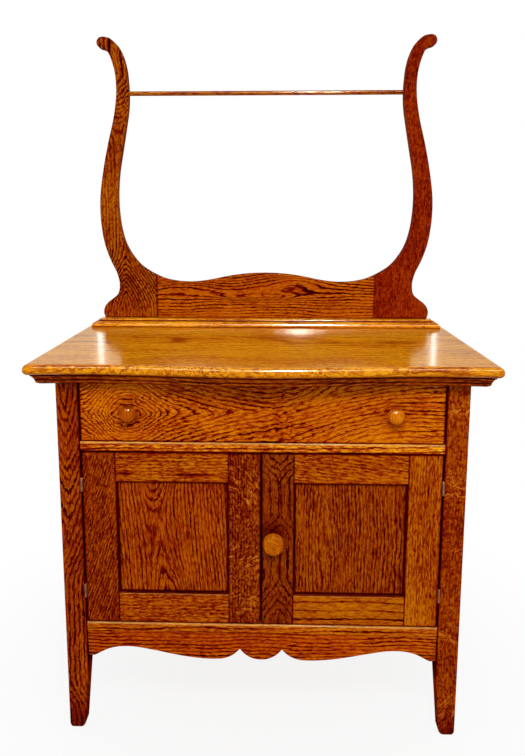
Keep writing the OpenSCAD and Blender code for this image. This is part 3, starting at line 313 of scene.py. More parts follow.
@dataclass
class Board:
    """How a board was sawn from its log and finished. Lengths are in millimetres from the board's middle."""
    # Its finish, the axis that its grain follows and the axis that its face looks along
    finish: str
    grain: str = "z"
    face: str = "y"
    # Width of a year's ring, where the log's heart lies, across and back along the face's axis, and its lean
    ring: float = 6.0
    pith: tuple = (6.0, 70.0)
    tilt: float = 0.0
    # How far the heart wanders, and how far the grain slants per length
    wander: float = 6.0
    skew: float = 0.0
    # Hills in the rings: along, across, length, width, rings, and the size of the curls where it has them
    swirls: tuple = ()
    # Stretches over which the rings climb: start, end, rings
    climbs: tuple = ()
    # One stretch over which the figure moves aside: start, end, shift
    veer: tuple = ()
    # Places where the rings are faint: along, length, share
    calm: tuple = ()
    # How far the rings are frayed, in rings, and how much of each is dark
    ragged: float = 0.9
    width: float = 0.5
    # Strength of the rings, the dashes, the fibres and the blotches
    lines: float = 0.8
    streaks: float = 0.45
    fibre: float = 0.4
    mottle: float = 0.0
    # Patches of ray flakes: along, half length, slant in degrees, strength
    rays: tuple = ()
    # How much darker than its finish it is, or lighter below 0, and the number that sets its noise apart
    tone: float = 0.0
    seed: float = 0.0
    # How far the painted shade and dirt at its seams reach in before they fade, or none below 0
    seam_shade: float = 0.0
    # Bands of painted shade in grooves and under overhangs: height over the floor, half width, darkness
    shade_bands: tuple = ()
    # Lines of painted shade in gaps and where boards meet: the way they are measured, place, half width,
    # darkness
    marks: tuple = ()
    # Dark patches, some of them knots and some painted shade round knobs: along, across, length, width,
    # darkness
    spots: tuple = ()
    # A painted highlight along an edge: height over the floor, half width, share
    edge_highlight: tuple = ()
    # Which way its inner side with painted shade and no varnish looks, 1 or -1, and whether it stands on the
    # floor
    inner: float = 0.0
    foot: bool = False
    # How much varnish it has, how rough that is, and how much more than usual its edges are rounded
    gloss: float = 0.3
    polish: float = 0.12
    edge: float = 1.0
    # Powers that darken its colour
    shift: tuple = STAINED


@dataclass
class Place:
    """Where a point lies on its board and over the floor, in millimetres. The lean follows slanting grain."""
    along: Value
    across: Value
    deep: Value
    lean: Value
    height: Value
    # The axis across the grain, and the board's own place in the noise
    side: str
    seed: float


def place_on(g, node, board):
    """Measures a board from its middle, along its grain, across it and into its face."""
    point = g.add("ShaderNodeTexCoord", output="Object")
    low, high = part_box(node)
    off = g.add("ShaderNodeVectorMath", {"operation": "SUBTRACT"}, {0: point, 1: (low + high) / 2})
    mm = g.add("ShaderNodeVectorMath", {"operation": "SCALE"}, {0: off, "Scale": 1000.0})
    axes = dict(zip("xyz", g.parts(mm)))
    side = next(a for a in "xyz" if a not in (board.grain, board.face))
    along, across = axes[board.grain], axes[side]
    lean = across + along * board.skew if board.skew else across
    if board.veer:
        start, end, shift = board.veer
        lean = lean + along.ramp(start, end, 0.0, shift)
    height = g.parts(point)[2] * 1000
    return Place(along, across, axes[board.face], lean, height, side, board.seed * SEED_STEP)


def log_rings(g, board, at):
    """Counts the rings from the log's heart, bent as the tree wandered. A slow shade comes with them."""
    wandering = g.vector(at.along / DRIFT_LENGTH + at.seed, at.across / DRIFT_WIDTH, at.deep / DRIFT_WIDTH)
    drift = g.add("ShaderNodeTexNoise", None, {"Vector": wandering, "Scale": 1.0, "Detail": 1.5}, "Color")
    sway, heave, shade = g.parts(drift)
    side = at.lean - board.pith[0] + (sway - 0.5) * (board.wander * 2)
    depth = at.deep + board.pith[1] + (heave - 0.5) * (board.wander * 2)
    if board.tilt:
        depth = depth + at.along * board.tilt
    turn = (side * side + depth * depth).root() / board.ring
    for along, across, length, width, rings, *curl in board.swirls:
        hill = bell((at.along - along) / length, (at.across - across) / width) * rings
        if curl:
            hill = hill * (g.noise(at.along / curl[0], at.across / curl[0], at.seed, 1.5) * 2 - 1)
        turn = turn + hill
    for start, end, rings in board.climbs:
        turn = turn + at.along.ramp(start, end, 0.0, rings)
    fray = g.noise(at.along / FRAY_LENGTH, at.across / FRAY_WIDTH, at.deep / FRAY_WIDTH + at.seed, 3.0, 0.6)
    return turn + (fray - 0.5) * board.ragged, shade


def ray_flakes(g, board, at):
    """Pale flakes, in patches where the saw ran along the log's rays."""
    flake = 0.0
    for along, half, slant, strength in board.rays:
        angle = math.radians(slant)
        waves = g.noise(at.across / BEND_WIDTH, at.along / BEND_LENGTH + slant, at.deep / FLAKE_DEPTH, 1.0)
        bend = (waves - 0.5) * FLAKE_BEND
        thin = at.along * math.cos(angle) - at.across * math.sin(angle) + bend
        long = at.along * math.sin(angle) + at.across * math.cos(angle)
        fleck = FLAKES.draw(g, thin / FLAKES.width, long / FLAKES.length + at.seed, at.deep / FLAKE_DEPTH)
        flake = (fleck * bell((at.along - along) / half) * strength).most(flake)
    return flake


def cover(coats):
    """Darkness of several coats laid over each other."""
    clear = 1.0
    for coat in coats:
        clear = clear * (1 - coat)
    return 1 - clear


def shade_and_soil(g, node, board, at):
    """Shadow in the corners, dirt and wear, less of it on side faces, and where the inner side is."""
    normal = dict(zip("xyz", g.parts(g.add("ShaderNodeTexCoord", output="Normal"))))
    ends = normal[board.grain] * normal[board.grain]
    sides = normal[at.side] * normal[at.side]
    facing = (ends + sides).ramp(0.4, 0.8, 1.0, SIDE_SEAM_SHADE)
    shades = []
    # Painted shade in the gaps at the board's seams, with some dirt, weaker on its side faces
    if board.seam_shade >= 0:
        low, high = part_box(node)
        half = (high - low) * 1000 / 2
        rim = (getattr(half, at.side) - abs(at.across)).least(getattr(half, board.grain) - abs(at.along))
        shades.append(rim.ramp(board.seam_shade, board.seam_shade + SEAM_FADE, SEAM_SHADE, 0.0) * facing)
    # Bands of painted shade in grooves and under overhangs
    for level, half_width, darkness in board.shade_bands:
        shades.append(bell((at.height - level) / half_width) * darkness)
    # Lines of painted shade in the gaps and at the joints beside the board, weaker on side faces
    for way, place, half_width, darkness in board.marks:
        shades.append(bell((getattr(at, way) - place) / half_width) * facing * darkness)
    for along, across, length, width, darkness in board.spots:
        shades.append(bell((at.along - along) / length, (at.across - across) / width) * darkness)
    # Painted shade near the floor, darker towards the foot
    if board.foot:
        shades.append(at.height.ramp(0.0, FOOT_SHADE_REACH, FOOT_SHADE, 0.0))
    shades.append(ends.ramp(0.5, 0.9) * END_DARK)
    # Painted shade on the inner side, which also loses its varnish
    inner = (normal[at.side] * board.inner).ramp(0.3, 0.9) if board.inner else 0.0
    if board.inner:
        shades.append(inner * INNER_SIDE_SHADE)
    return cover(shades), inner


def oak(node, board):
    """Varnished oak cut from a log, with rings, open pores and ray flakes where the saw met them."""
    finish = bpy.context.scene.washstand_finish
    bare = board.finish == "bare"
    figure = finish.figure * (BARE_FIGURE if bare else 1.0)
    material, g = new_material("oak_" + node)
    at = place_on(g, node, board)

    # Early wood is dark from a ring's start, and stronger in some years
    turn, shade = log_rings(g, board, at)
    ring = turn.fract()
    year = g.add("ShaderNodeTexWhiteNoise", {"noise_dimensions": "1D"}, {"W": turn.floor() + at.seed})
    early = ring.ramp(board.width * 0.35, board.width, 1.0, 0.0) * ring.ramp(0.0, 0.05) * (year * 0.5 + 0.5)

    # Open pores, dashes that follow the rings, fibres, bold stretches, clouds and blotches
    pore = PORES.spread(g, at, at.across)
    dash = DASHES.draw(g, turn * (board.ring / DASHES.width), at.along / DASHES.length + at.seed,
                       (at.lean + at.deep) / DASH_DEPTH)
    fibre = FIBRES.spread(g, at, at.lean)
    bold = g.noise(at.along / BOLD_LENGTH + at.seed, at.across / BOLD_WIDTH, at.deep / BOLD_DEPTH, 1.0)
    bold = bold.ramp(0.36, 0.54, 0.55, 1.0)
    cloud = shade.ramp(0.35, 0.65)
    for along, length, share in board.calm:
        bold = (1 - bell((at.along - along) / length) * share) * bold
    coats = [early * bold * (board.lines * figure), dash * bold * (board.streaks * figure),
             fibre * board.fibre, pore * PORE_DARK, cloud * CLOUD_DARK]
    if board.mottle:
        coats.append(BLOTCHES.spread(g, at, at.across) * board.mottle)
    dark = cover(coats).ramp(0.0, GRAIN_FULL)
    flake = ray_flakes(g, board, at)
    if board.rays:
        dark = dark * (1 - flake * FLAKE_COVER)

    # Stain, dirt and painted shade take light away, blue and green before red
    dirt_and_shade, inner = shade_and_soil(g, node, board, at)
    left = (1 - dark * (1 - (BARE_LEFT if bare else finish.stain))) * (1 - dirt_and_shade)
    red, green, blue = BARE if bare else board.shift
    body = [min(1.0, c * (1 - board.tone)) for c in light_of(getattr(finish, board.finish))]
    rich = g.mix(cloud * CLOUD_SHARE, body, [c * tint for c, tint in zip(body, CLOUD_TINT)])
    if board.rays:
        rich = g.mix(flake * FLAKE_SHARE, rich, light_of(finish.pale))
    colour = g.times(rich, g.vector(left ** red, left ** green, left ** blue))
    # A painted highlight along a rounded edge, broken by the fibres
    if board.edge_highlight:
        level, half_width, share = board.edge_highlight
        highlighted = bell((at.height - level) / half_width) * fibre.ramp(0.0, 1.0, 1.0, 0.6) * share
        colour = g.mix(highlighted, colour, light_of(EDGE_HIGHLIGHT_COLOUR))

    relief = 1 - pore * PORE_RELIEF - early * EARLY_RELIEF
    bump = g.add("ShaderNodeBump", None, {"Strength": RELIEF, "Distance": RELIEF_DEPTH, "Height": relief})
    shader = g.add("ShaderNodeBsdfPrincipled", None,
                   {"Base Color": colour, "Normal": bump,
                    "Roughness": (BARE_ROUGH if bare else VARNISHED_ROUGH) + dark * GRAIN_ROUGH,
                    # The inner side with painted shade has no varnish, so it mirrors nothing
                    "Coat Weight": 0.0 if bare else (1 - inner) * min(1.0, finish.gloss * board.gloss),
                    "Coat Roughness": board.polish, "Coat IOR": VARNISH_IOR,
                    "Specular IOR Level": BARE_SPECULAR if bare else 0.0})
    g.add("ShaderNodeOutputMaterial", None, {"Surface": shader})
    return material


# Metal

# Clouds of tarnish and scratches, and how far a scratch runs, as counts per metre
TARNISH_CLOUDS = 190
SCRATCHES = 2600
SCRATCH_RUN = 210
# Share of red, green and blue that tarnish and the painted shade on sideways faces leave
TARNISH_AND_SHADE_LEFT = (0.1, 0.06, 0.05)


def metal(name, colour, rough, tarnish_and_shade):
    """Old metal, dulled in clouds and finely scratched."""
    material, g = new_material(name)
    x, y, z = g.parts(g.add("ShaderNodeTexCoord", output="Object"))
    clouds = g.noise(x * TARNISH_CLOUDS, y * TARNISH_CLOUDS, z * TARNISH_CLOUDS, 3.0, 0.6)
    scratches = g.noise(x * SCRATCHES, y * SCRATCHES, z * SCRATCH_RUN, 2.0, 0.7)
    tone = light_of(colour)
    aside = g.parts(g.add("ShaderNodeTexCoord", output="Normal"))[0]
    # Tarnish in clouds, and painted shade on faces that look sideways, so a hinge barrel's sides are dark
    tarnish_and_side_shade = clouds.ramp(0.4, 0.68).most((aside * aside).ramp(0.0, 0.28))
    shade = g.mix(tarnish_and_side_shade * tarnish_and_shade, tone, [c * left for c, left in zip(tone, TARNISH_AND_SHADE_LEFT)])
    bump = g.add("ShaderNodeBump", None, {"Strength": 0.25, "Distance": 0.0001, "Height": scratches})
    shader = g.add("ShaderNodeBsdfPrincipled", None,
                   {"Base Color": shade, "Metallic": 0.6, "Roughness": rough + tarnish_and_side_shade * 0.25 + scratches * 0.1,
                    "Normal": bump})
    g.add("ShaderNodeOutputMaterial", None, {"Surface": shader})
    return material


# Eased edges

# Corners nearer than JOINED, in metres, become one. An edge that bends more and is longer than these is eased
JOINED = 0.00001
SHARP_ANGLE = math.radians(32)
SHORTEST_EDGE = 0.0014


def eased_edges():
    """Geometry nodes that join the frame's split corners and mark the outer edges that a plane would ease."""
    tree = bpy.data.node_groups.new("eased_edges", "GeometryNodeTree")
    tree.interface.new_socket("Geometry", in_out="INPUT", socket_type="NodeSocketGeometry")
    tree.interface.new_socket("Geometry", in_out="OUTPUT", socket_type="NodeSocketGeometry")
    g = Graph(tree)
    given = g.add("NodeGroupInput")
    joined = g.add("GeometryNodeMergeByDistance", None, {"Geometry": given, "Distance": JOINED})
    smooth = g.add("GeometryNodeSetShadeSmooth", None, {"Geometry": joined})
    angle = g.add("GeometryNodeInputMeshEdgeAngle", output="Signed Angle")
    first, last = g.outputs(g.add("GeometryNodeInputMeshEdgeVertices"), "Position 1", "Position 2")
    length = g.add("ShaderNodeVectorMath", {"operation": "DISTANCE"}, {0: first, 1: last}, "Value")
    marked = g.add("GeometryNodeStoreNamedAttribute", {"data_type": "FLOAT", "domain": "EDGE"},
                   {"Geometry": smooth, "Name": "bevel_weight_edge",
                    "Value": angle.above(SHARP_ANGLE) * length.above(SHORTEST_EDGE)})
    g.add("NodeGroupOutput", None, {"Geometry": marked})
    return tree


def dress(node, material, width):
    """Gives a CAD node its finish, and rounds its outer edges with modifiers, without touching its mesh."""
    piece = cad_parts[node]
    marks = piece.modifiers.new("Edges", "NODES")
    marks.node_group = bpy.data.node_groups.get("eased_edges") or eased_edges()
    bevel = piece.modifiers.new("Eased", "BEVEL")
    bevel.limit_method = "WEIGHT"
    bevel.width = width
    bevel.segments = 2
    bevel.use_clamp_overlap = False
    piece.modifiers.new("Shading", "WEIGHTED_NORMAL")
    for slot in piece.material_slots:
        slot.material = material


# Moulded boards, drawn finer than the frame's. Lengths are in millimetres, along the frame's axes

# The top: half its width, its front corners, its back, the round of its corners, its underside and thickness
TOP_HALF_WIDTH = 417.5
TOP_FRONT = -233.5
TOP_BACK = 249.5
TOP_CORNER = 8.0
TOP_UNDERSIDE = 712.0
TOP_THICKNESS = 20.0
# Its swell: how far the middle bulges, how far it dips beside that, and where the dips are deepest
BULGE = 16.0
DIP = 5.0
DIP_X = 310.0
# Its nose: how far it draws in above and below, and the height of its foremost line
NOSE_UP = 9.0
NOSE_DOWN = 14.5
NOSE_H = 9.0
# The case under it
CASE_HALF_WIDTH = 372.5
CASE_FRONT = -186.5
CASE_BACK = 237.5
# The moulding: its height, how far its foot and top stand out, its fillets, and its bead's height and share
MOULDING_H = 18.0
MOULDING_FOOT = 22.5
MOULDING_OUT = 34.0
LOWER_FILLET = 1.2
LOWER_FILLET_BACK = 1.5
UPPER_FILLET = 2.0
MOULDING_BEAD = 0.36 * MOULDING_H
MOULDING_BEAD_SHARE = 0.42
# The ledge: half its width, its front and back, how deep it is seated, its height and the run of its moulding
LEDGE_HALF_WIDTH = 403.25
LEDGE_FRONT = 201.5
LEDGE_BACK = 246.5
LEDGE_SEAT = 1.0
LEDGE_H = 19.0
LEDGE_RUN = 24.0
# Its moulding: the ovolo's share of the run, how far the quirk cuts in, and the heights that part them
LEDGE_OVOLO = 0.56
LEDGE_QUIRK = 1.1
OVOLO_FOOT, OVOLO_TOP, QUIRK_TOP, BEAD_FOOT, BEAD_TOP = (LEDGE_H * s for s in (0.1, 0.7, 0.76, 0.77, 0.99))
# The mitres' gap for glue, the narrow rim that keeps a flat cap's shading flat, and the sharpest smooth bend
GLUE = 0.1
CAP_RIM = 0.5
CREASE = math.radians(34)
# Steps along the top's front edge, the turn of each step round its corners, and the least round there
FRONT_STEPS = 112
CORNER_STEP = math.radians(7.5)
LEAST_CORNER = 0.8


def swell(x):
    """How far the front edge stands behind its corners at x: a bulge in the middle and a dip on each side."""
    u = abs(x)
    if u < DIP_X:
        return -(BULGE - DIP) / 2 - (BULGE + DIP) / 2 * math.cos(math.pi * u / DIP_X)
    return DIP * (1 - ((u - DIP_X) / (TOP_HALF_WIDTH - DIP_X)) ** 2)


def quarter(steps, first=0):
    """Angles of a quarter turn."""
    return [math.radians(90 * i / steps) for i in range(first, steps + 1)]


def link(name, data):
    """A new object in the scene."""
    made = bpy.data.objects.new(name, data)
    bpy.context.scene.collection.objects.link(made)
    return made


def skin(name, rings):
    """A closed mesh through rings of points, smooth but for its creases."""
    count = len(rings[0])
    faces = []
    for start in range(0, (len(rings) - 1) * count, count):
        for j in range(count):
            k = (j + 1) % count
            faces.append((start + j, start + k, start + count + k, start + count + j))
    last = (len(rings) - 1) * count
    faces += [tuple(range(count))[::-1], tuple(range(last, last + count))]
    mesh = bpy.data.meshes.new(name)
    mesh.from_pydata([[c / 1000 for c in point] for ring in rings for point in ring], [], faces)
    work = bmesh.new()
    work.from_mesh(mesh)
    bmesh.ops.recalc_face_normals(work, faces=work.faces)
    work.to_mesh(mesh)
    work.free()
    mesh.shade_smooth()
    mesh.set_sharp_from_angle(angle=CREASE)
    return link(name, mesh)


def top_plan(inset, z):
    """Outline of the top, drawn in by inset."""
    half, front = TOP_HALF_WIDTH - inset, TOP_FRONT + inset
    radius = max(TOP_CORNER - inset, LEAST_CORNER)
    centre = half - radius
    steps = [-centre + 2 * centre * i / FRONT_STEPS for i in range(FRONT_STEPS + 1)]
    edge = [(x, front + swell(x)) for x in steps]
    corner_y = front + swell(centre) + radius
    turn = [CORNER_STEP * i for i in range(-10, 1)]
    corner = [(centre + radius * math.cos(a), corner_y + radius * math.sin(a)) for a in turn]
    outline = edge + corner + [(half, TOP_BACK), (-half, TOP_BACK)] + [(-x, y) for x, y in reversed(corner)]
    return [(x, y, z) for x, y in outline]


def make_tabletop(name):
    """The serpentine top with its rounded nose."""
    rise = TOP_THICKNESS - NOSE_H
    nose = [(NOSE_DOWN + CAP_RIM, 0.0)]
    nose += [(NOSE_DOWN * (1 - math.sin(a)), NOSE_H * (1 - math.cos(a))) for a in quarter(9)[:-1]]
    nose += [(NOSE_UP * (1 - math.cos(a)), NOSE_H + rise * math.sin(a)) for a in quarter(10)]
    nose += [(NOSE_UP + CAP_RIM, TOP_THICKNESS)]
    return skin(name, [top_plan(inset, TOP_UNDERSIDE + up) for inset, up in nose])


def moulding_section():
    """Section of the moulding, as projection and height: a fillet, a bead, a cove and a fillet."""
    run = MOULDING_OUT - MOULDING_FOOT
    cove_h = MOULDING_H - LOWER_FILLET - MOULDING_BEAD - UPPER_FILLET
    section = [(0.0, 0.0), (MOULDING_FOOT - LOWER_FILLET_BACK, 0.0), (MOULDING_FOOT, LOWER_FILLET)]
    for a in quarter(8, 1):
        bead = MOULDING_BEAD_SHARE * math.sin(a)
        section.append((MOULDING_FOOT + run * bead, LOWER_FILLET + MOULDING_BEAD * (1 - math.cos(a))))
    for a in quarter(8, 1):
        cove = MOULDING_BEAD_SHARE + (1 - MOULDING_BEAD_SHARE) * a / math.radians(90)
        section.append((MOULDING_FOOT + run * cove, LOWER_FILLET + MOULDING_BEAD + cove_h * math.sin(a)))
    return [*section, (MOULDING_OUT, MOULDING_H), (0.0, MOULDING_H)]


def make_front_moulding(name):
    """The length under the front edge, which follows the top's swell."""
    low = TOP_UNDERSIDE - MOULDING_H
    rings = []
    for i in range(FRONT_STEPS + 1):
        s = 1 - 2 * i / FRONT_STEPS
        bend = swell(s * TOP_HALF_WIDTH)
        rings.append([(s * (CASE_HALF_WIDTH + out), CASE_FRONT - out + (bend if out > 0 else 0), low + up)
                      for out, up in moulding_section()])
    return skin(name, rings)


def make_side_moulding(name):
    """A straight length on the left or the right, mitred at its front end."""
    side = -1 if name.startswith("left") else 1
    low = TOP_UNDERSIDE - MOULDING_H
    section = [(side * (CASE_HALF_WIDTH + out), CASE_FRONT - out + GLUE, low + up)
               for out, up in moulding_section()]
    return skin(name, [section, [(x, CASE_BACK, z) for x, y, z in section]])


def make_ledge(name):
    """The moulded ledge on the top: an ovolo, a quirk and a bead, returned at both ends."""
    knee = LEDGE_RUN * LEDGE_OVOLO
    bead = LEDGE_RUN - knee
    steps = [(0.0, -LEDGE_SEAT), (0.0, OVOLO_FOOT)]
    steps += [(knee * (1 - math.cos(a)), OVOLO_FOOT + (OVOLO_TOP - OVOLO_FOOT) * math.sin(a))
              for a in quarter(12, 1)]
    steps += [(knee + LEDGE_QUIRK, OVOLO_TOP), (knee + LEDGE_QUIRK, QUIRK_TOP), (knee, BEAD_FOOT)]
    steps += [(knee + bead * (1 - math.cos(a)), BEAD_FOOT + (BEAD_TOP - BEAD_FOOT) * math.sin(a))
              for a in quarter(8, 1)]
    steps += [(LEDGE_RUN, LEDGE_H), (LEDGE_RUN + CAP_RIM, LEDGE_H)]
    rings = []
    for run, up in steps:
        x, y, z = LEDGE_HALF_WIDTH - run, LEDGE_FRONT + run, TOP_UNDERSIDE + TOP_THICKNESS + up
        rings.append([(-x, y, z), (x, y, z), (x, LEDGE_BACK, z), (-x, LEDGE_BACK, z)])
    return skin(name, rings)


# Each moulded board: its maker, its new name and the name of a finish slot, which nothing reads
MOULDED = {
    "tabletop": (make_tabletop, "serpentine_top", "golden_oak"),
    "front_moulding": (make_front_moulding, "front_moulding_run", "dark_oak"),
    "left_moulding": (make_side_moulding, "left_moulding_run", "dark_oak"),
    "right_moulding": (make_side_moulding, "right_moulding_run", "dark_oak"),
    "back_ledge": (make_ledge, "moulded_ledge", "golden_oak"),
}


def dress_boards(boards):
    """Finishes each board, and draws the moulded ones anew."""
    width = bpy.context.scene.washstand_edges.board
    for node, board in boards.items():
        if node in MOULDED:
            make, name, slot = MOULDED[node]
            piece = make(name)
            piece.data.materials.append(oak(node, board))
            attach(piece, "case")
            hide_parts(node)
        else:
            dress(node, oak(node, board), width * board.edge)


# Heights over the floor, in millimetres, of edges with painted shade and of rounded edges with a painted
# highlight. The moulding's painted shade lies in whole bands
BOTTOM_RAIL_HIGHLIGHT = 222.4
DOOR_RAIL_HIGHLIGHT = 283.3
DRAWER_RAIL_FOOT = 563.0
DRAWER_RAIL_HIGHLIGHT = 579.4
MOULDING_SHADE_BANDS = ((711.5, 2.2, 0.9), (701.6, 1.3, 0.8), (694.6, 1.6, 0.8))
TOP_FOOT = 712.6
LEDGE_FOOT = 732.4
QUIRK_FOOT = 745.9

# How each board was cut and finished, one group for each operator
LEGS = {
    "front_left_leg": Board(
        "umber", ring=8.5, pith=(-45, 31), tilt=-0.03, veer=(-60, 60, -40), wander=3.5, lines=0.88,
        foot=True, seed=1, climbs=((20, 345, -10), (-330, -250, 3)), streaks=0.35, fibre=0.3, inner=1.0,
        seam_shade=-1, marks=(("across", 20.6, 2.6, 0.97),), mottle=0.15, width=0.55, ragged=1.3),
    "front_right_leg": Board(
        "umber", ring=5.0, pith=(190, 19), wander=8, lines=0.15, streaks=0.2, mottle=0.42, foot=True,
        seed=2, tone=0.05,
        rays=((146, 34, 7, 0.7), (292, 12, 24, 0.7), (30, 14, 30, 0.6), (-150, 30, -28, 0.6),
              (-310, 36, 42, 0.8)), inner=-1.0, seam_shade=-1, marks=(("across", -20.6, 2.6, 0.95),), fibre=0.3),
    "rear_left_leg": Board("umber", ring=5.0, pith=(30, 40), tilt=0.03, foot=True, seed=3, seam_shade=-1),
    "rear_right_leg": Board("umber", ring=4.5, pith=(-40, 30), tilt=0.02, foot=True, seed=4, seam_shade=-1),
}
ENDS = {
    "left_side_top_rail": Board("oak", "y", "x", ring=4.5, pith=(50, 60), tilt=0.05, seed=5, tone=0.15),
    "left_side_bottom_rail": Board(
        "oak", "y", "x", ring=4.5, pith=(-45, 60), tilt=-0.04, seed=6, tone=0.15),
    "left_side_panel": Board(
        "umber", "z", "x", ring=7.0, pith=(-15, 20), tilt=0.05, wander=10, seed=7, seam_shade=9,
        swirls=((60, -15, 200, 70, 9),)),
    "right_side_top_rail": Board("oak", "y", "x", ring=4.5, pith=(40, -60), tilt=0.05, seed=8, tone=0.15),
    "right_side_bottom_rail": Board(
        "oak", "y", "x", ring=4.5, pith=(-55, -60), tilt=0.04, seed=9, tone=0.15),
    "right_side_panel": Board(
        "umber", "z", "x", ring=7.0, pith=(20, -20), tilt=-0.05, wander=10, seed=10, seam_shade=9,
        swirls=((-40, 20, 210, 70, 9),)),
}
BACK = {
    "back_top_rail": Board("bare", "x", "y", ring=5.0, pith=(40, -60), tilt=0.03, seed=11),
    "back_bottom_rail": Board("bare", "x", "y", ring=5.0, pith=(-30, -60), tilt=-0.03, seed=12),
    "back_panel": Board(
        "bare", "x", "y", ring=9.0, pith=(25, -30), tilt=0.05, wander=14, seed=13, seam_shade=9,
        swirls=((-60, 25, 220, 90, 9),)),
}
FRONT_RAILS = {
    "top_front_rail": Board("oak", "x", "y", seed=14),
    "drawer_rail": Board(
        "golden", "x", "y", ring=6.5, pith=(35, 60), tilt=0.02, seed=15, tone=-0.3, gloss=2, edge=1.5,
        seam_shade=-1, shade_bands=((DRAWER_RAIL_FOOT, 1.8, 0.85),), edge_highlight=(DRAWER_RAIL_HIGHLIGHT, 1.8, 0.9)),
    "bottom_rail": Board(
        "oak", "x", "y", pith=(30, 70), tilt=0.012, seed=16, tone=-0.02, gloss=2, edge=1.5, seam_shade=-1,
        edge_highlight=(BOTTOM_RAIL_HIGHLIGHT, 1.8, 0.9), streaks=0.35, fibre=0.3),
    "front_apron": Board(
        "umber", "x", "y", pith=(75, 40), tilt=0.02, wander=14, lines=1.0, seed=17, tone=-0.35, seam_shade=-1,
        streaks=0.38, fibre=0.3),
}
INSIDE = {
    "cabinet_floor": Board("bare", "x", "z", ring=8.0, pith=(20, 60), tilt=0.05, wander=14, seed=18),
    "drawer_runners": Board("bare", "y", "x", seed=19),
    "drawer_kickers": Board("bare", "y", "x", seed=20),
    "drawer_stops": Board("bare", "y", "x", seed=21),
    "crest_dowels": Board("bare", "x", "y", ring=3.0, seed=22),
}
TOP = {
    "tabletop": Board(
        "golden", "x", "z", ring=9.0, pith=(30, 160), tilt=0.03, wander=20, lines=0.42, streaks=0.15,
        fibre=0.28, seed=23, tone=-0.08, seam_shade=-1, gloss=4.5, polish=0.14,
        swirls=((-215, -241, 150, 12, 5, 14), (60, -241, 60, 10, 4, 14), (215, -241, 60, 10, 4, 14)),
        shade_bands=((TOP_FOOT, 3.2, 0.8),), shift=WAXED),
    "front_moulding": Board(
        "umber", "x", "y", ring=5.0, pith=(20, 60), tilt=0.01, seed=24, gloss=2, tone=-0.25,
        shade_bands=MOULDING_SHADE_BANDS, seam_shade=-1, shift=WAXED),
    "left_moulding": Board(
        "umber", "y", "x", ring=4.0, pith=(20, 60), seed=25, gloss=2, seam_shade=-1, shade_bands=MOULDING_SHADE_BANDS,
        tone=-0.25, shift=WAXED),
    "right_moulding": Board(
        "umber", "y", "x", ring=4.0, pith=(20, -60), seed=26, gloss=2, seam_shade=-1, shade_bands=MOULDING_SHADE_BANDS,
        tone=-0.25, shift=WAXED),
}
HARP = {
    "back_ledge": Board(
        "golden", "x", "y", pith=(60, 60), lines=0.25, streaks=0.15, fibre=0.3, seed=27, tone=-0.22,
        gloss=5, seam_shade=-1, shade_bands=((LEDGE_FOOT, 1.6, 0.85), (QUIRK_FOOT, 1.2, 0.85)), shift=WAXED),
    "left_harp_post": Board(
        "oak", ring=7.0, pith=(-8, 24), tilt=0.05, wander=4, lines=1.0, streaks=0.25, mottle=0.22, seed=28,
        tone=0.27, seam_shade=-1, veer=(0, 160, 11), calm=((-20, 100, 0.8), (-315, 40, 0.8)),
        climbs=((-300, -150, 9), (90, 240, -11)), ragged=1.2, swirls=((160, 0, 70, 30, 1.2, 22),),
        marks=(("along", -315, 2.5, 0.8),), width=0.6),
    "right_harp_post": Board(
        "russet", ring=4.4, pith=(180, 10), wander=5, lines=0.2, streaks=0.3, fibre=0.35, mottle=0.3,
        seed=29, tone=-0.12, seam_shade=-1, marks=(("along", -315, 2.5, 0.8),)),
    "harp_crest": Board(
        "oak", "x", "y", ring=6.5, pith=(70, 24), wander=16, lines=1.0, seed=30, seam_shade=-1, tone=0.09,
        swirls=((-10, -2, 95, 8, -3.0), (60, 34, 90, 20, 2.6), (-190, 20, 80, 16, 1.8)), streaks=0.26,
        fibre=0.3,
        marks=(("along", -254.5, 3.5, 0.9), ("along", 254.5, 3.0, 0.6), ("across", -52.7, 2.0, 0.8))),
    "towel_rod": Board("oak", "x", "y", ring=4.0, seed=31, tone=0.28, seam_shade=-1, gloss=3, fibre=0.2),
}
DRAWER = {
    "drawer_front": Board(
        "oak", "x", "y", ring=8.5, pith=(0, 15), wander=12, lines=0.9, streaks=0.4, seed=32, tone=-0.12,
        veer=(-10, 260, -62), climbs=((-240, 30, 6), (-330, -265, -4)),
        swirls=((-240, 6, 46, 90, -5), (-240, 0, 60, 50, 1.5, 20), (42, -5, 22, 60, 1.8, 18),
                (190, 60, 90, 40, -2)), calm=((200, 130, 0.3), (-240, 60, 0.15)), fibre=0.3, ragged=1.3,
        # Painted shade round and below the two knobs, with some dirt from hands, and painted shade in the gap
        # above the rail
        spots=((-238, -8, 20, 20, 0.35), (240, -10, 20, 20, 0.35)), marks=(("across", -55.2, 2.0, 0.7),)),
    "drawer_left_side": Board("bare", "y", "x", ring=5.0, pith=(40, 60), tilt=0.05, seed=33),
    "drawer_right_side": Board("bare", "y", "x", ring=5.0, pith=(-40, 60), tilt=0.04, seed=34),
    "drawer_back": Board("bare", "x", "y", ring=5.0, pith=(30, 60), tilt=0.04, seed=35),
    "drawer_bottom": Board("bare", "x", "z", ring=9.0, pith=(30, 60), tilt=0.05, wander=14, seed=36),
}
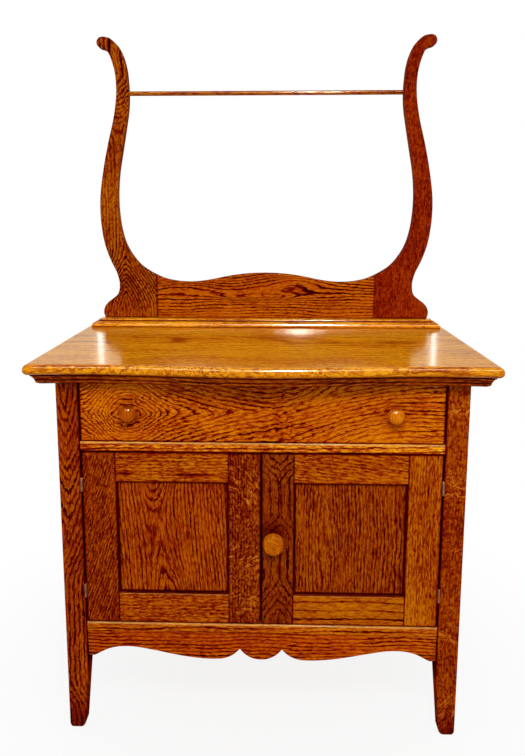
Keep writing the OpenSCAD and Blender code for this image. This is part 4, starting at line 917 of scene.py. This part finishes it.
LEFT_DOOR = {
    "left_door_hinge_stile": Board(
        "umber", ring=5.0, pith=(95, 30), tilt=0.03, lines=0.55, mottle=0.3, skew=-0.32, seed=37, tone=0.06,
        marks=(("across", -31.5, 2.2, 0.7),)),
    "left_door_meeting_stile": Board(
        "umber", ring=5.0, pith=(150, 4), lines=0.4, streaks=0.4, mottle=0.5, seed=38, tone=0.16,
        rays=((95, 75, -48, 0.65), (-35, 45, 38, 0.7), (-130, 34, 4, 0.65))),
    "left_door_top_rail": Board(
        "oak", "x", "y", ring=5.5, pith=(70, 45), lines=0.45, streaks=0.4, seed=39, tone=0.08, fibre=0.45,
        spots=((-88, -12, 16, 3.5, 0.8), (40, -14, 38, 3.5, 0.75))),
    "left_door_bottom_rail": Board(
        "oak", "x", "y", pith=(-60, 45), lines=0.45, mottle=0.2, seed=40, tone=0.05, streaks=0.4,
        fibre=0.45, edge_highlight=(DOOR_RAIL_HIGHLIGHT, 0.9, 0.42)),
    "left_door_panel": Board(
        "umber", ring=7.0, pith=(-30, 14), wander=10, lines=0.72, streaks=0.4, skew=0.07, seed=41, seam_shade=9,
        swirls=((150, -26, 62, 34, -5), (-150, 6, 90, 26, -4), (10, -34, 60, 12, 1.2)), tone=-0.04,
        fibre=0.35),
}
RIGHT_DOOR = {
    "right_door_hinge_stile": Board(
        "oak", ring=5.0, pith=(80, 30), lines=0.3, streaks=0.35, fibre=0.42, mottle=0.05, seed=42,
        tone=0.12,
        spots=((-105.5, 10.2, 5, 1.5, 0.8), (-105.5, 16.7, 5, 1.5, 0.8), (101, 5.7, 14, 2.2, 0.6)),
        marks=(("across", 31.5, 2.4, 1.0),)),
    "right_door_meeting_stile": Board(
        "umber", ring=14.0, pith=(2, 13), wander=10, lines=1.0, streaks=0.3, fibre=0.35, seed=43, tone=0.26,
        climbs=((115, 168, -3), (10, 50, 2), (-168, -70, 4)), ragged=1.2, width=0.4, mottle=0.2,
        spots=((16, -8, 26, 26, 0.6),)),
    "right_door_top_rail": Board(
        "oak", "x", "y", ring=5.5, pith=(60, 45), lines=0.45, streaks=0.4, skew=0.12, seed=44, tone=0.07,
        fibre=0.45),
    "right_door_bottom_rail": Board(
        "oak", "x", "y", ring=16.0, pith=(60, 30), wander=8, lines=0.95, width=0.28, ragged=0.4,
        streaks=0.22, fibre=0.34, seed=45, tone=0.16, edge_highlight=(DOOR_RAIL_HIGHLIGHT, 0.9, 0.35)),
    "right_door_panel": Board(
        "umber", pith=(150, 60), wander=12, streaks=0.4, ragged=1.3, seed=46, tone=0.1, seam_shade=9,
        swirls=((-30, -30, 90, 16, 2.2),)),
}
KNOBS = {
    "left_drawer_knob": Board(
        "umber", "z", "y", ring=5.0, pith=(28, 22), lines=0.2, streaks=0.2, fibre=0.2, seed=47, tone=-0.05,
        seam_shade=-1, gloss=1.5),
    "right_drawer_knob": Board(
        "oak", "z", "y", ring=5.0, pith=(28, 22), lines=0.15, streaks=0.2, fibre=0.15, seed=48, tone=-0.15,
        seam_shade=-1, gloss=2),
    "door_knob": Board(
        "oak", "x", "y", ring=4.0, pith=(30, 26), skew=0.5, lines=0.25, streaks=0.2, fibre=0.3, seed=49,
        tone=0.06, seam_shade=-1, gloss=2),
}
# Nodes of brass and of steel
BRASSWARE = ("case_hinge_leaves", "hinge_pins", "case_hinge_screws", "left_door_hinge_leaves",
             "left_door_screws", "right_door_hinge_leaves", "right_door_screws", "bolt_plate", "latch_tongue")
STEELWARE = ("top_screws", "door_bolt")


def boards_operator(name, words, boards):
    """An operator that dresses one group of like boards."""

    def execute(self, context):
        dress_boards(boards)
        return {"FINISHED"}

    label = name.replace("_", " ").capitalize()
    return type("WASHSTAND_OT_" + name, (Operator,),
                {"__doc__": words, "bl_idname": "washstand." + name, "bl_label": label, "execute": execute})


BOARD_OPERATORS = [
    boards_operator("legs", "Dress the four tapered legs", LEGS),
    boards_operator("ends", "Dress the rails and panels of both ends", ENDS),
    boards_operator("back", "Dress the rails and the panel of the back", BACK),
    boards_operator("front_rails", "Dress the front rails and the apron", FRONT_RAILS),
    boards_operator("inside", "Dress the floor, runners, kickers, stops and dowels", INSIDE),
    boards_operator("top", "Dress the top and the moulding under it", TOP),
    boards_operator("harp", "Dress the ledge, the harp's boards and the towel rod", HARP),
    boards_operator("drawer", "Dress the drawer", DRAWER),
    boards_operator("left_door", "Dress the left door's frame and panel", LEFT_DOOR),
    boards_operator("right_door", "Dress the right door's frame and panel", RIGHT_DOOR),
    boards_operator("knobs", "Dress the three turned knobs", KNOBS),
]


class WASHSTAND_OT_hardware(Operator):
    """Dress the hinges, the latch, the bolt and the screws"""
    bl_idname = "washstand.hardware"
    bl_label = "Hardware"

    def execute(self, context):
        finish = context.scene.washstand_finish
        width = context.scene.washstand_edges.metal
        brass = metal("old_brass", finish.brass, rough=0.36, tarnish_and_shade=0.9)
        steel = metal("dull_steel", finish.steel, rough=0.34, tarnish_and_shade=0.55)
        for nodes, material in ((BRASSWARE, brass), (STEELWARE, steel)):
            for node in nodes:
                dress(node, material, width)
        return {"FINISHED"}


# Studio. Lengths and places are in metres

FLOOR_RADIUS = 6
FLOOR_SIDES = 48
# Colours of the background, of the room's light and of what the varnish mirrors of the room
WHITE = (1.0, 1.0, 1.0)
WARM = (1.0, 0.985, 0.96)
GLOW = (1.0, 0.94, 0.70)
# Tints of the lamps that glint on varnish
SPARK_TINT = (1, 0.9, 0.7)
BAND_TINT = (1, 0.86, 0.62)
LEDGE_TINT = (1, 0.9, 0.74)
# The glint at the ledge's foot, which the top mirrors: its place across, how far it stands before the ledge
# and over the top, how far its layers stand apart, and the share of its power and the size of each layer
GLINT_X = 0.08
GLINT_GAP = 0.002
GLINT_RISE = 0.01
LAYER_GAP = 0.0005
GLINT_LAYERS = ((0.40, (0.12, 0.017)), (0.36, (0.07, 0.014)), (0.24, (0.04, 0.01)))
# Where the strips behind the stand hang, whose glints streak the top's ends
LEFT_STRIP_X = -0.956
RIGHT_STRIP_X = 0.903
# Where the camera stood, how it was turned and tipped, and the shift that frames the photograph
CAMERA_PLACE = (0.024, -1.4318, 0.9885)
CAMERA_YAW = -0.0318
CAMERA_PITCH = 0.1605
CAMERA_SHIFT = (0.0131, -0.062)


def lamp(name, place, target, power, size, glint=False, tint=WHITE):
    """A lamp that either lights the wood or only glints on its varnish."""
    light = bpy.data.lights.new(name, "AREA")
    light.shape = "ELLIPSE" if glint else "RECTANGLE"
    light.size, light.size_y = size
    light.energy = power
    light.color = tint
    piece = link(name, light)
    piece.location = place
    piece.rotation_mode = "QUATERNION"
    piece.rotation_quaternion = (Vector(target) - Vector(place)).to_track_quat("-Z", "Y")
    piece.visible_camera = False
    piece.visible_diffuse = not glint
    piece.visible_glossy = glint


def make_floor(studio):
    """A pale floor that fades into the white round the stand."""
    mesh = bpy.data.meshes.new("studio_floor")
    angles = [i * math.tau / FLOOR_SIDES for i in range(FLOOR_SIDES)]
    rim = [(FLOOR_RADIUS * math.cos(a), FLOOR_RADIUS * math.sin(a), 0) for a in angles]
    mesh.from_pydata(rim, [], [list(range(FLOOR_SIDES))])
    floor = link("studio_floor", mesh)
    material, g = new_material("studio_floor")
    x, y, _ = g.parts(g.add("ShaderNodeTexCoord", output="Object"))
    far = (x * x + y * y).root()
    grain = g.noise(x * 9, y * 9, 0.0, 2.0)
    tone = light_of(studio.floor)
    colour = g.mix(grain * 0.15, tone, [c * 0.97 for c in tone])
    matt = g.add("ShaderNodeBsdfPrincipled", None,
                 {"Base Color": colour, "Roughness": 0.9, "Specular IOR Level": 0.0})
    clear = g.add("ShaderNodeBsdfTransparent")
    glow = g.add("ShaderNodeEmission", None, {"Color": (*WHITE, 1.0), "Strength": 1.0})
    seen = g.add("ShaderNodeLightPath", output="Is Camera Ray")
    pale = g.add("ShaderNodeMixShader", None, {0: seen * far.ramp(0.2, 1.0, 0.86, 1.0), 1: matt, 2: glow})
    faded = g.add("ShaderNodeMixShader", None, {0: far.ramp(0.9, 2.4), 1: pale, 2: clear})
    g.add("ShaderNodeOutputMaterial", None, {"Surface": faded})
    mesh.materials.append(material)
    floor.visible_glossy = False


def make_world(studio):
    """White where the camera, gloss and glass look behind the stand, and even light on the wood."""
    world = bpy.data.worlds.new("studio")
    bpy.context.scene.world = world
    world.use_nodes = True
    g = Graph(world.node_tree)

    def background(colour, strength):
        return g.add("ShaderNodeBackground", None, {"Color": (*colour, 1.0), "Strength": strength})

    camera = g.add("ShaderNodeLightPath", output="Is Camera Ray")
    glossy, through = g.outputs(camera, "Is Glossy Ray", "Is Transmission Ray")
    aside, ahead, _ = g.parts(g.add("ShaderNodeTexCoord", output="Generated"))
    behind = ahead.ramp(-0.25, 0.35)
    shown = camera.most(through)
    room = background(WARM, studio.room)
    dim = background(WARM, studio.room * 0.15)
    white = background(WHITE, 1.0)
    glow = background(GLOW, aside.ramp(-0.4, 0.4, 1.4, 1.0))
    mirrored = g.add("ShaderNodeMixShader", None, {0: behind, 1: dim, 2: glow})
    wood = g.add("ShaderNodeMixShader", None, {0: glossy, 1: room, 2: mirrored})
    mixed = g.add("ShaderNodeMixShader", None, {0: shown, 1: wood, 2: white})
    g.add("ShaderNodeOutputWorld", None, {"Surface": mixed})


def make_camera(studio):
    """The camera that took the photograph, level with the lyre and tipped down."""
    data = bpy.data.cameras.new("camera")
    data.sensor_width = 36
    data.lens = studio.lens
    data.shift_x, data.shift_y = CAMERA_SHIFT
    data.clip_start = 0.05
    camera = link("camera", data)
    level = math.cos(CAMERA_PITCH)
    ahead = Vector((math.sin(CAMERA_YAW) * level, math.cos(CAMERA_YAW) * level, -math.sin(CAMERA_PITCH)))
    right = Vector((math.cos(CAMERA_YAW), -math.sin(CAMERA_YAW), 0))
    up = right.cross(ahead)
    turned = Matrix((right, up, -ahead)).transposed()
    camera.matrix_world = Matrix.Translation(CAMERA_PLACE) @ turned.to_4x4()
    bpy.context.scene.camera = camera


class WASHSTAND_OT_studio(Operator):
    """Set the floor, the lamps, the world and the camera"""
    bl_idname = "washstand.studio"
    bl_label = "Studio"

    def execute(self, context):
        studio = context.scene.washstand_studio
        make_floor(studio)
        make_world(studio)
        lamp("main_lamp", place=(0.15, -1.9, 2.35), target=(0, 0, 0.65), power=studio.key, size=(0.9, 0.6))
        for side, x in (("left", -2.2), ("right", 2.2)):
            lamp(side + "_lamp", place=(x, -1.3, 1.3), target=(0, 0, 0.6), power=studio.fill, size=(1.2, 1.6))
        lamp("ceiling_glint", place=(0.21, -1.3, 2.3), target=(0.05, 0, 0.7), power=studio.spark,
             size=(0.3, 0.3), glint=True, tint=SPARK_TINT)
        lamp("ceiling_band", place=(0.0, -1.25, 2.3), target=(0.0, 0, 0.7), power=studio.band,
             size=(2.8, 0.3), glint=True, tint=BAND_TINT)
        front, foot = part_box("back_ledge")[0].yz
        for n, (share, size) in enumerate(GLINT_LAYERS):
            place = (GLINT_X, front - GLINT_GAP - n * LAYER_GAP, foot + GLINT_RISE)
            lamp("ledge_glint_%d" % n, place, target=(GLINT_X, -1, foot + GLINT_RISE),
                 power=studio.mirrored * share, size=size, glint=True, tint=LEDGE_TINT)
        for side, x in (("left", LEFT_STRIP_X), ("right", RIGHT_STRIP_X)):
            lamp(side + "_strip_glint", place=(x, 2.5, 1.25), target=(0, 0, 0.8), power=studio.strips,
                 size=(0.008, 0.4), glint=True)
        make_camera(studio)
        context.scene.view_settings.view_transform = "Standard"
        return {"FINISHED"}


class WASHSTAND_PT_panel(Panel):
    """Colours, edges and studio, and a button for each group of pieces"""
    bl_label = "Washstand"
    bl_idname = "WASHSTAND_PT_panel"
    bl_space_type = "VIEW_3D"
    bl_region_type = "UI"
    bl_category = "Washstand"

    def draw(self, context):
        for group in (getattr(context.scene, name) for name in GROUPS):
            box = self.layout.box()
            for name in group.bl_rna.properties.keys():
                if name not in ("rna_type", "name"):
                    box.prop(group, name)
        for operator in OPERATORS:
            self.layout.operator(operator.bl_idname)


GROUPS = {"washstand_finish": WashstandFinish, "washstand_edges": WashstandEdges,
          "washstand_studio": WashstandStudio}
OPERATORS = [*BOARD_OPERATORS, WASHSTAND_OT_hardware, WASHSTAND_OT_studio]
CLASSES = [*GROUPS.values(), *OPERATORS, WASHSTAND_PT_panel]


def register():
    for made in CLASSES:
        bpy.utils.register_class(made)
    for name, group in GROUPS.items():
        setattr(bpy.types.Scene, name, PointerProperty(type=group))


def unregister():
    for name in GROUPS:
        delattr(bpy.types.Scene, name)
    for made in reversed(CLASSES):
        bpy.utils.unregister_class(made)


def main():
    register()
    for operator in OPERATORS:
        getattr(bpy.ops.washstand, operator.bl_idname.split(".")[1])()


if __name__ == "__main__":
    main()
